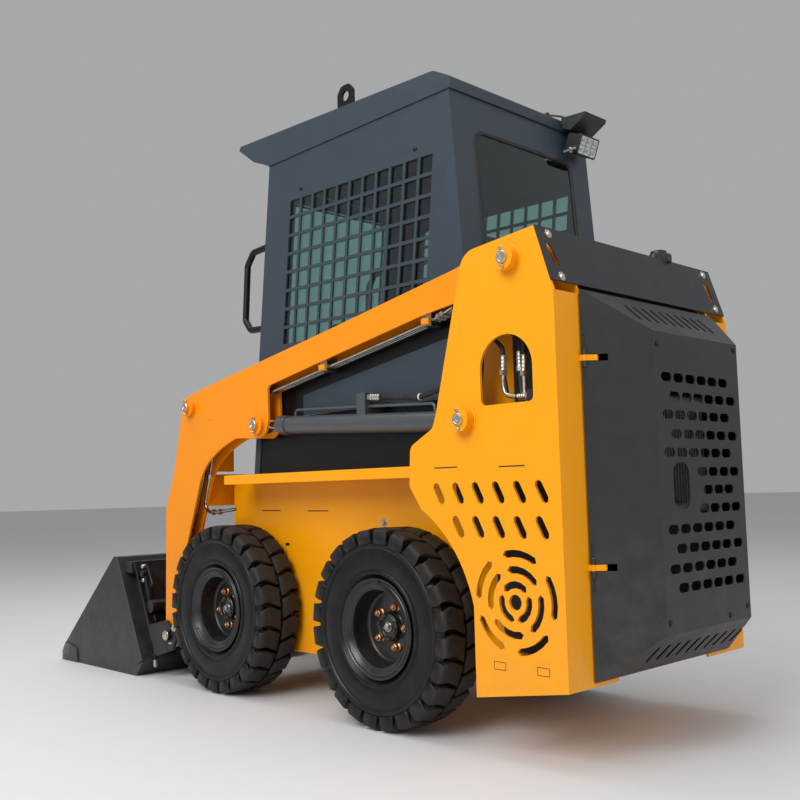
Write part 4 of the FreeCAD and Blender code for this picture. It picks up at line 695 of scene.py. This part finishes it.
FILLER_X, FILLER_Y = -1200, -200
neck = [(0, 34), (4, 34), (6, 27), (150, 27), (152, 30), (172, 30), (174, 27)]
piece("filler_neck", lathe(neck, (FILLER_X, FILLER_Y, 1195), UP, 40), black_plastic, "machine")
piece("filler_cap", lobed_cap((FILLER_X, FILLER_Y, 1362), 36, 40, 4), black_plastic, "machine")

# Black sheets in the rubber finish, behind the openings of the towers: painted shade, standing in for the
# towers' dark insides.
shade_screens = together(
    plate([(-1268, 548), (-905, 548), (-842, 640), (-842, 745), (-1268, 745)], "Y", 345, 349),
    plate([(-1268, 262), (-1015, 262), (-985, 400), (-985, 540), (-1268, 540)], "Y", 345, 349),
    plate([(-1262, 905), (-1060, 905), (-1060, 1112), (-1262, 1112)], "Y", 339, 342))
piece("tower_painted_shade_screens", twin(shade_screens), seal_rubber, "machine")

# Black sheets in the rubber finish, in the engine bay: beside the hood's opening, over it, behind its top,
# and along its sides. They are painted shade, standing in for the bay's dark inside.
SHROUD_X = (-1288, -1284)
beside = plate([(212, 212), (320, 212), (320, 1186), (212, 1186)], "X", *SHROUD_X)
over = plate([(-325, 1197), (325, 1197), (325, 1290), (-325, 1290)], "X", -1250, -1247)
behind = plate([(-212, 950), (212, 950), (212, 1186), (-212, 1186)], "X", *SHROUD_X)
cheek = plate([(-1352, 292), (-1284, 226), (-1284, 1182), (-1352, 1128)], "Y", 211.5, 214.5, 0.8)
piece("engine_bay_painted_shade_sheets", together(twin(beside), over, behind, twin(cheek)), seal_rubber, "machine")
# A black plate under the hood's louvres: painted shade behind them.
under_louvres = plate([(-1300, 1176), (-1405, 1087), (-1403.5, 1085), (-1298.5, 1174)], "Y", -225, 225, 0.4)
piece("hood_louvre_painted_shade", under_louvres, black_paint, "rear_hood")


def slit(start, end, z, face, width=3.4):
    """A dark slit on a side plate, from start to end along X: it stands 0.4 mm out of the plate's face."""
    return plate(stadium((start, z), (end, z), width), "Y", face - 0.4, face + 0.4, 0.2)


def on_tower(flat):
    """Points (x, z) on the tower's outer face."""
    return np.column_stack([flat[:, 0], np.full(len(flat), float(TOWER_FACE)), flat[:, 1]])


# The slits of the tabs on the towers and the frame, and the thin outlines of two small flaps.
slits = [slit(-934, -851, 756, TOWER_FACE), slit(-1168, -1085, 752, TOWER_FACE),
         slit(98, 206, 636, FRAME_FACE), slit(-168, -60, 634, FRAME_FACE), slit(52, 66, 517, FRAME_FACE, 11)]
FLAP_SECTION = [(0, -0.4), (0, 0.35), (1.5, 0.35), (1.5, -0.4)]
flaps = [seal([(x - 36, 232), (x, 232), (x, 250), (x - 36, 250)], on_tower, LEFT, FLAP_SECTION)
         for x in (-1047, -1187)]
piece("tab_slits", twin(together(*slits, *flaps)), seal_rubber, "machine")

pan_head = [(-1, 8), (1.2, 8), (3.4, 6.4), (4.6, 3.6), (5, 0)]
cab_screws = [lathe(pan_head, (x, CAB_FACE, z), LEFT, 24) for x, z in ((-147, 1746), (-705, 1733))]
piece("cab_side_screws", twin(together(*cab_screws)), black_paint, "machine")
frame_bolt = hexagon_bolt((-445, FRAME_FACE, 596), LEFT, 14, 8)
piece("chassis_side_bolts", twin(frame_bolt), zinc_plate, "machine")

# Weld beads where the fenders and the towers' outer plates meet the frame, and round the pins' bosses.
beads = [bead([(-790, 263, 734), (245, 263, 734)], 3.0),
         bead([(-1272, 437, 560), (-1272, 437, 1190)], 2.6),
         bead([(-560, 263, 152), (200, 263, 152)], 3.0)]
piece("frame_weld_beads", twin(together(*beads)), tower_paint, "machine", 60)
tower_collars = together(*[collar_bead(x, z, TOWER_FACE + 0.5, BOSS_RADIUS) for x, z in TOWER_PINS])
piece("tower_boss_welds", twin(tower_collars), tower_paint, "machine", 60)
boom_collars = together(*[collar_bead(x, z, BOOM_FACE + 0.5, BOSS_RADIUS) for x, z in BOOM_PINS])
piece("boom_boss_welds", twin(boom_collars), boom_paint, "boom", 60)


# Hydraulic lines

TOWER_HOSE_RADIUS, ELBOW_RADIUS = 6.4, 7.2
tower_ends = [hose_end(start, end, TOWER_HOSE_RADIUS, nut) for start, end, nut in (
    ((-1072, 396, 1049), (-1070, 396, 1010), 14), ((-1128, 378, 1046), (-1126, 378, 1004), 14),
    ((-1098, 360, 1060), (-1098, 360, 1020), 14), ((-1120, 396, 934.5), (-1148, 396, 934), 10))]
outer_elbow = rounded([(-1070, 396, 996), (-1070, 396, 944), (-1112, 396, 935)], 30)
inner_elbow = rounded([(-1126, 378, 990), (-1126, 378, 926), (-1158, 378, 917)], 26)
elbows = [tube(route, ELBOW_RADIUS, 16) for route in (outer_elbow, inner_elbow)]
piece("tower_hose_ends", twin(together(*tower_ends, *elbows)), zinc_plate, "machine")

# A plastic spiral round one hose: x and y go round its middle 16 times while z climbs from 1052 to 1150.
WRAP_TURNS, WRAP_RADIUS = 16, 8.0
angle = np.linspace(0, 2 * math.pi * WRAP_TURNS, 16 * WRAP_TURNS)
drift = np.linspace(0, 3, len(angle))
wrap_path = np.stack([-1126 - drift + WRAP_RADIUS * np.cos(angle), 378 + WRAP_RADIUS * np.sin(angle),
                      np.linspace(1052, 1150, len(angle))], axis=1)
piece("spiral_hose_wrap", twin(tube(wrap_path, 1.7, 6, UP)), black_plastic, "machine")

LIFT_WAY = (0.9986, 0, 0.0517)
lift_crimp = hose_end((-574, 380, 980.6), (-531, 380, 984.5), 8.2, 12)
tie_section = [(-2.4, 8.4), (-2.4, 10.6), (2.4, 10.6), (2.4, 8.4)]
lift_tie = lathe(tie_section, (-740, 380, 968), (1, 0, 0.1), 28, closed=True)
gland_ring = lathe([(0, 31), (1.5, 32.2), (7, 32.2), (8.5, 31)], (-96, 380, 926.6), LIFT_WAY, 48)
base_ring = lathe([(0, 30.4), (1.2, 31.4), (5, 31.4), (6.2, 30.4)], (-906, 380, 885), LIFT_WAY, 48)
barrel_rings = together(gland_ring, base_ring)
for side, turned in SIDES:
    barrel = "lift_barrel_" + side
    piece("lift_hose_crimp_" + side, turned(lift_crimp), zinc_plate, barrel)
    piece("lift_hose_tie_" + side, turned(lift_tie), tie_nylon, barrel)
    piece("lift_barrel_rings_" + side, turned(barrel_rings), cylinder_paint, barrel)

# Steel lines along the boom: two hex unions on each near the tower, and clamps on the boom's side.
UNION_WAY = (-0.95, 0, 0.31)
unions = [lathe([(near, 8.5), (near + 1, 10), (far - 1, 10), (far, 8.5)], (-828, y, 1190), UNION_WAY, 6)
          for y in (391, 378, 365) for near, far in ((0, 12), (15, 28))]
piece("boom_line_unions", twin(together(*unions)), zinc_plate, "boom")
clamps = [slab((x - 15, 397, z - 9), (x + 15, 412, z + 9), 1.5)
          for x, z in ((325, 982), (-326, 1097), (-795, 1180))]
piece("boom_line_clamps", twin(together(*clamps)), boom_paint, "boom")

# Lines down the boom's leg: two bent tubes and three hex nuts.
NUT_RADIUS = 10.5
rear_line = [(383, 360, 834), (434, 360, 658), (410, 360, 634), (350, 360, 634), (246, 352, 644)]
front_line = [(420, 366, 805), (470, 366, 670), (515, 366, 560)]
leg_lines = [tube(rounded(rear_line, 22), 6, 16), tube(rounded(front_line, 30), 6, 16)]
leg_nuts = [lathe([(-half, NUT_RADIUS), (half, NUT_RADIUS)], place, way, 6) for half, place, way in (
    (9, (376, 360, 634), FORWARD), (8, (334, 359.5, 635), (1, 0, 0.02)),
    (8, (402, 360, 768), (0.28, 0, -0.96)))]
piece("leg_lines", twin(together(*leg_lines, *leg_nuts)), line_steel, "boom")


# Cab

def rear_x(z):
    """X of the cab's leaning rear face at a height."""
    return -887 + 0.0716 * (z - 1389)


def front_x(z):
    """X of the cab's leaning front face at a height."""
    return 104 - 0.1095 * (z - 1222)


def on_rear(flat):
    """Points (y, z) on the rear face."""
    return np.column_stack([rear_x(flat[:, 1]), flat[:, 0], flat[:, 1]])


def on_front(flat):
    """Points (y, z) on the door's glass, 2 mm behind the front face."""
    return np.column_stack([front_x(flat[:, 1]) - 2, flat[:, 0], flat[:, 1]])


FRONT_OUT, REAR_OUT = (0.994, 0, 0.109), (-0.997, 0, 0.071)
SEAL_SECTION = [(-5, -1), (-4, 2.6), (0, 3.6), (6, 2.8), (7, -1)]

# A black sheet on each side of the cab, in the band under the boom: painted shade of the gap under the boom.
shade_band = plate([(-141, 959), (-141, 1027), (-812, 1135), (-896, 1149), (-896, 1262), (-380, 1165), (-53, 1105),
               (60, 1078), (112, 1062), (122, 959)], "Y", CAB_FACE - 0.4, CAB_FACE + 1.4, 0.4)
piece("cab_painted_shade_bands", twin(shade_band), black_paint, "machine")
rear_seal = seal(round_corners((-240, 1300), (240, 1770), 40), on_rear, REAR_OUT, SEAL_SECTION)
piece("rear_window_seal", rear_seal, seal_rubber, "machine")
door_seal = seal(round_corners((-228, 846), (228, 1754), 24), on_front, FRONT_OUT, SEAL_SECTION)
piece("door_glass_seal", door_seal, seal_rubber, "cab_door")

# The door's pull handle on its backing plate, with the lock's round face between its feet.
HANDLE_X, HANDLE_Y, LOCK_Z = front_x(1260) - 2, -248, 1260
pull = rounded([(HANDLE_X + 2, HANDLE_Y, LOCK_Z - 55), (HANDLE_X + 36, HANDLE_Y, LOCK_Z - 55),
                (HANDLE_X + 36, HANDLE_Y, LOCK_Z + 55), (HANDLE_X + 2, HANDLE_Y, LOCK_Z + 55)], 18)
backing = stadium((HANDLE_Y, LOCK_Z - 70), (HANDLE_Y, LOCK_Z + 70), 26)
handle = together(plate(backing, "X", HANDLE_X - 3, HANDLE_X + 5, 1.5), tube(pull, 6.5, 16),
                  lathe([(4, 8), (9, 8), (10, 7)], (HANDLE_X, HANDLE_Y, LOCK_Z), FORWARD, 24))
piece("door_handle", handle, black_plastic, "cab_door")
flanges = [lathe([(-2.2, 22), (2.2, 22), (3.4, 20.6)], (front_x(z) + 2, 305, z), FRONT_OUT, 36)
           for z in (1595, 1295)]
piece("handle_flanges", twin(together(*flanges)), black_paint, "machine")

# Rubber mat on the cab's floor, with ribs 15 mm apart.
ribs = [slab((-860, y - 3, 769), (90, y + 3, 771), 0.6) for y in range(-300, 301, 15)]
mat = together(slab((-868, -318, 766.4), (98, 318, 769.4), 0.8), *ribs)
piece("cab_floor_mat", mat, seal_rubber, "machine")


# Seat

# Per pad: piece, the solid it stands for, half sizes, middle, tilt in radians, and its sewn channels.
PADS = (("padded_seat_cushion", "seat_cushion", (224, 218, 48), (-406, 0, 979), 0.0, (-120, -40, 40, 120)),
        ("padded_seat_back", "seat_back", (284, 218, 48), (-717, 0, 1216), math.atan2(570, -65),
         (-190, -100, -10, 80, 170)))
CROWN, CHANNEL_DEPTH, CHANNEL_WIDTH = 12, 6.0, 5.0
PIPING_RADIUS = 3.2


def power(wave, exponent):
    """A power that keeps the sign of a wave: it squares off circles."""
    return np.sign(wave) * np.abs(wave) ** exponent


def cushion(half, place, tilt, channels):
    """A stuffed pad: x = a C(u) C(v), y = b C(u) S(v), z = c S(u), where C and S are powers of the cosine and
    sine. The sides are drawn in between the corners, the top is crowned by (1 - (x/a)^2) (1 - (y/b)^2), and
    each sewn channel is a groove of exp(-(d / width)^2) across it."""
    u = np.linspace(-math.pi / 2, math.pi / 2, 61)[:, None]
    v = np.linspace(0, 2 * math.pi, 160, endpoint=False)[None, :]
    x = power(np.cos(u), 0.42) * power(np.cos(v), 0.3)
    y = power(np.cos(u), 0.42) * power(np.sin(v), 0.3)
    z = power(np.sin(u), 0.55) * np.ones_like(v)
    draw = 1 - 0.035 * ((1 - x ** 2).clip(0) * (np.abs(y) > 0.6) + (1 - y ** 2).clip(0) * (np.abs(x) > 0.6))
    x, y = x * half[0] * draw, y * half[1] * draw
    top = (z > 0.05)
    crowned = CROWN * (1 - (x / half[0]) ** 2).clip(0) * (1 - (y / half[1]) ** 2).clip(0)
    sewn = sum(np.exp(-((x - channel) / CHANNEL_WIDTH) ** 2) for channel in channels)
    height = z * (half[2] - CROWN) + top * crowned - top * sewn * CHANNEL_DEPTH
    c, s = math.cos(tilt), math.sin(tilt)
    points = [place[0] + x * c - height * s, place[1] + y, place[2] + x * s + height * c]
    return skin(np.stack(points, axis=2))


def turned_over(surface, place, tilt):
    """A pad turned by half a turn about its own length: p' = 2 (p.axle) axle - p, from its middle."""
    axle = np.array([math.cos(tilt), 0, math.sin(tilt)])
    centred = surface[0] - place
    return 2 * (centred @ axle)[:, None] * axle - centred + place, surface[1]


def piping(half, place, tilt):
    """The welt cord round a pad: a round section carried along the pad's middle outline."""
    v = np.linspace(0, 2 * math.pi, 200, endpoint=False)
    x = power(np.cos(v), 0.3) * half[0] * 0.985
    y = power(np.sin(v), 0.3) * half[1] * 0.985
    c, s = math.cos(tilt), math.sin(tilt)
    path = np.stack([place[0] + x * c, place[1] + y, place[2] + x * s], axis=1)
    along = np.roll(path, -1, axis=0) - np.roll(path, 1, axis=0)
    along /= np.linalg.norm(along, axis=1, keepdims=True)
    up = np.array([-s, 0, c])
    side = np.cross(along, up)
    t = np.arange(8) * math.pi / 4
    spokes = np.cos(t)[None, :, None] * side[:, None] + np.sin(t)[None, :, None] * up
    return skin(path[:, None] + PIPING_RADIUS * spokes, True)


for name, node, half, place, tilt, channels in PADS:
    surface = cushion(half, place, tilt, channels)
    if node == "seat_back":
        # The back's crowned side faces the driver.
        surface = turned_over(surface, place, tilt)
    pad = piece(name, surface, seat_vinyl, "machine", 60)
    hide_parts(node)
    piece(name + "_piping", piping(half, place, tilt), seal_rubber, "machine")


# Levers

LEVER_Y, LEVER_WAY = 270, (0.174, 0, 0.985)


def lever_boot():
    """A folded rubber boot: radius 30 - 17 t, waved by 2.5 cos(fold), while it narrows up the stick."""
    t = np.linspace(0, 1, 49)
    profile = np.column_stack([t * 62, 30 - 17 * t + 2.5 * np.cos(t * 10 * math.pi)])
    return lathe(np.concatenate([[(0, 34)], profile, [(62, 9)]]), (-290, LEVER_Y, 1058), LEVER_WAY, 36)


def lever_grip():
    """A moulded grip: radius 21 with finger waves of 1.6 mm, rounded over at the top."""
    t = np.linspace(0, 1, 33)
    profile = np.column_stack([t * 112, 21 + 1.6 * np.cos(t * 8 * math.pi)])
    profile[-4:, 1] = (20, 17.5, 13, 6)
    return lathe(np.concatenate([[(0, 12)], profile, [(114, 0)]]), (-272.3, LEVER_Y, 1149), LEVER_WAY, 36)


piece("lever_boots", twin(lever_boot()), seal_rubber, "machine")
piece("lever_grips", twin(lever_grip()), black_plastic, "machine")


# Work lamp

# The middle of the lamp's face, and its own axes as rows: across, up and out.
LAMP_AT = np.array([-924.0, -252.0, 1817.0])
LAMP_AXES = np.array([(0, 1, 0), (-0.375, 0, 0.927), (-0.927, 0, -0.375)], float)
CELLS = [(a, b) for b in (-15.5, 15.5) for a in (-31, 0, 31)]


def on_lamp(surface):
    """From the lamp's axes to the machine's: middle + a across + b up + c out."""
    return surface[0] @ LAMP_AXES + LAMP_AT, surface[1]


def lamp_face(flat):
    """Points (a, b) on the lamp's face."""
    return np.column_stack([flat, np.zeros(len(flat))])


def bowl(a, b):
    """A square reflector cup: squares of shrinking half width, from its rim back to its middle."""
    square = np.array([(1, 1), (-1, 1), (-1, -1), (1, -1)], float)
    levels = ((14.8, 0.5), (14.8, 4.2), (13.8, 4.2), (6.5, 0.9), (0.0, 0.9))
    return skin([np.column_stack([square * width + (a, b), np.full(4, out)]) for width, out in levels])


bowls = together(*[bowl(a, b) for a, b in CELLS])
piece("lamp_reflectors", on_lamp(bowls), reflector, "machine", angle=20)
chips = together(*[lathe([(0.8, 4.6), (2.2, 4.6), (2.8, 3.8)], (a, b, 0), UP, 20) for a, b in CELLS])
piece("lamp_chips", on_lamp(chips), lamp_chip, "machine")
BEZEL_SECTION = [(-3.5, 0.2), (-3.5, 5.2), (0.5, 5.2), (1.5, 4.2), (1.5, 0.2)]
bezel = seal(round_corners((-50, -32), (50, 32), 5), lamp_face, UP, BEZEL_SECTION)
piece("lamp_bezel", on_lamp(bezel), black_plastic, "machine")
lens = plate(round_corners((-46.6, -28.6), (46.6, 28.6), 3), "Z", 4.5, 5.8, 0.3)
piece("lamp_lens", on_lamp(lens), clear_lens, "machine")
cooling = [slab((a, -29, -52), (a + 3, 29, -44), 0.8) for a in range(-44, 55, 11)]
piece("lamp_cooling_fins", on_lamp(together(*cooling)), black_plastic, "machine")
wing = together(lathe([(0, 9), (8, 9), (9, 7)], (-897, -198, 1800), LEFT, 24),
                plate(round_corners((-921, 1796), (-873, 1804), 3), "Y", -192, -188, 0.8))
piece("lamp_wing_bolt", wing, zinc_plate, "machine")

# The lamp's lead, from its back up to a gland in the roof.
lead = [(-868, -236, 1842), (-884, -222, 1880), (-876, -212, 1922), (-836, -202, 1938), (-800, -194, 1947)]
gland = lathe([(-3, 9), (1, 9), (9, 6), (10, 4)], (-806, -195, 1947), (-0.9, -0.2, 0.35), 20)
piece("lamp_cable", together(tube(rounded(lead, 26), 3.4, 12), gland), seal_rubber, "machine")


# Hood screws and the cooler behind the hood's holes

HOOD_FACE = -1421.5
dome_head = [(-1, 8.5), (1.2, 8.5), (1.8, 8), (2, 6), (3.6, 5.2), (4.4, 3), (4.6, 0)]
screws = [lathe(dome_head, (HOOD_FACE, y, z), (-1, 0, 0), 28)
          for y, z in ((204, 349), (-103, 338), (-204, 354), (204, 1055), (-204, 1070))]
piece("hood_screws", together(*screws), black_paint, "rear_hood")

FIRST_TUBE_Y, TUBE_PITCH, TUBES = -126, 14.0, 23
TUBE_HALF = 1.6
tube_places = [(0, FIRST_TUBE_Y + n * TUBE_PITCH, 0) for n in range(TUBES)]


def cooler_fin():
    """A folded fin: a strip whose y goes from tube to tube as a triangle wave every 5 mm of its height."""
    z = np.arange(650, 906, 2.5)
    y = np.where(np.arange(len(z)) % 2 == 0, TUBE_HALF, TUBE_PITCH - TUBE_HALF)
    front, back = np.full(len(z), -1352.0), np.full(len(z), -1340.0)
    corners = [(front, y, z), (back, y, z), (back, y, z + 0.5), (front, y, z + 0.5)]
    return skin(np.stack([np.stack(corner, 1) for corner in corners], axis=1))


tank = [(0, 0), (0, 12), (3, 15), (328, 15), (331, 12), (331, 0)]
tanks = [lathe(tank, (-1346, -133, z), LEFT, 28) for z in (923, 632)]
tubes = moved(slab((-1354, -TUBE_HALF, 640), (-1338, TUBE_HALF, 915), 0.5), *tube_places)
piece("oil_cooler", together(*tanks, tubes), cooler_metal, "machine", angle=40)
piece("oil_cooler_fins", moved(cooler_fin(), *tube_places[:-1]), cooler_metal, "machine", angle=20)


# Bucket and quick attach

rear_band = plate([(747, 66), (783, 48), (985, 448), (946, 455)], "Y", 444.6, 450, 0.8)
wear_pad = plate([(1290, 2), (1433, 2), (1433, 38), (1400, 80), (1300, 60)], "Y", 444.6, 451, 1.0)
piece("bucket_bands", twin(together(rear_band, wear_pad)), bucket_paint, "bucket")
bucket_beads = together(bead([(805, 437, 6), (752, 437, 64), (940, 437, 440)], 2.6),
                        bead([(786, 447, 50), (986, 447, 446)], 2.0))
piece("bucket_weld_beads", twin(bucket_beads), bucket_paint, "bucket", 60)


def coil_spring(start, end, radius, wire, turns):
    """A helix about the line from start to end: start + t (end - start) + radius (cos a side + sin a up)."""
    start, end = np.asarray(start, float), np.asarray(end, float)
    side, up, along = basis(end - start)
    t = np.linspace(0, 1, turns * 18)[:, None]
    a = t * turns * 2 * math.pi
    return tube(start + t * (end - start) + radius * (np.cos(a) * side + np.sin(a) * up), wire, 8, along)


# The lock's black crank, rod, guide and spring, then its plated pins: two of the crank, one at the foot.
crank = plate([(786, 428), (812, 428), (862, 364), (852, 350), (748, 344), (742, 356)], "Y", 400, 407)
rod = tube([(776, 392, 262), (762, 392, 160), (748, 392, 60)], 7, 18)
guide = plate(stadium((745, 212), (770, 262), 26), "Y", 384, 400, 1.5)
spring = coil_spring((824, 400, 332), (776, 400, 266), 11, 2.2, 9)
piece("lock_links", twin(together(crank, rod, guide, spring)), black_paint, "bucket")
lock_pins = [lathe([(0, 9), (12, 9), (13, 8)], (x, 407, z), LEFT, 24) for x, z in ((800, 422), (796, 368))]
foot_pin = lathe([(0, 9), (22, 9), (28, 5)], (748, 392, 60), (-0.13, 0, -0.99), 24)
piece("lock_pins_and_springs", twin(together(*lock_pins, foot_pin)), zinc_plate, "bucket")


# Floor, light and camera

# A matt studio floor, rolled out pale, with a faint mottle. Its size is in metres.
FLOOR_HALF = 60
matt_floor = mottled("matt_floor", FLOOR, 0.75, "#C9CACB", 400, 0.05, patch_detail=4.0)
floor_mesh = bpy.data.meshes.new("studio_floor")
floor_corners = [(FLOOR_HALF * a, FLOOR_HALF * b, 0) for a, b in ((-1, -1), (1, -1), (1, 1), (-1, 1))]
floor_mesh.from_pydata(floor_corners, [], [(0, 1, 2, 3)])
floor_mesh.materials.append(matt_floor.material)
floor = bpy.data.objects.new("studio_floor", floor_mesh)
bpy.context.scene.collection.objects.link(floor)

world = bpy.data.worlds.new("studio")
bpy.context.scene.world = world
world.use_nodes = True
background = world.node_tree.nodes["Background"]
background.inputs["Color"].default_value = linear("#EDEEEF")
background.inputs["Strength"].default_value = 0.46


def soft_lamp(name, place, target, size, watts):
    """A white square area lamp that faces a point. Places and sizes are metres."""
    light = bpy.data.lights.new(name, "AREA")
    light.size = size
    light.energy = watts
    lamp = bpy.data.objects.new(name, light)
    lamp.location = place
    lamp.rotation_euler = (Vector(target) - Vector(place)).to_track_quat("-Z", "Y").to_euler()
    bpy.context.scene.collection.objects.link(lamp)


soft_lamp("key_lamp", (-1.5, 5.5, 4.5), (-0.2, 0, 0.9), 4.0, 310)
soft_lamp("fill_lamp", (-6.0, -1.0, 3.0), (-0.2, 0, 0.9), 4.0, 70)
soft_lamp("top_lamp", (0.5, 0.5, 6.0), (0, 0, 0.5), 5.0, 170)

# The camera of the photograph: from the left rear, 0.69 m above the floor.
CAMERA_DEGREES = (95.3304, 1.4115, -134.0162)
camera_data = bpy.data.cameras.new("camera")
camera_data.sensor_width = 36
camera_data.lens = 43.92
camera = bpy.data.objects.new("camera", camera_data)
camera.location = (-2.7371, 2.4023, 0.6949)
camera.rotation_euler = Euler([math.radians(degrees) for degrees in CAMERA_DEGREES])
bpy.context.scene.collection.objects.link(camera)
bpy.context.scene.camera = camera
bpy.context.scene.view_settings.view_transform = "Standard"
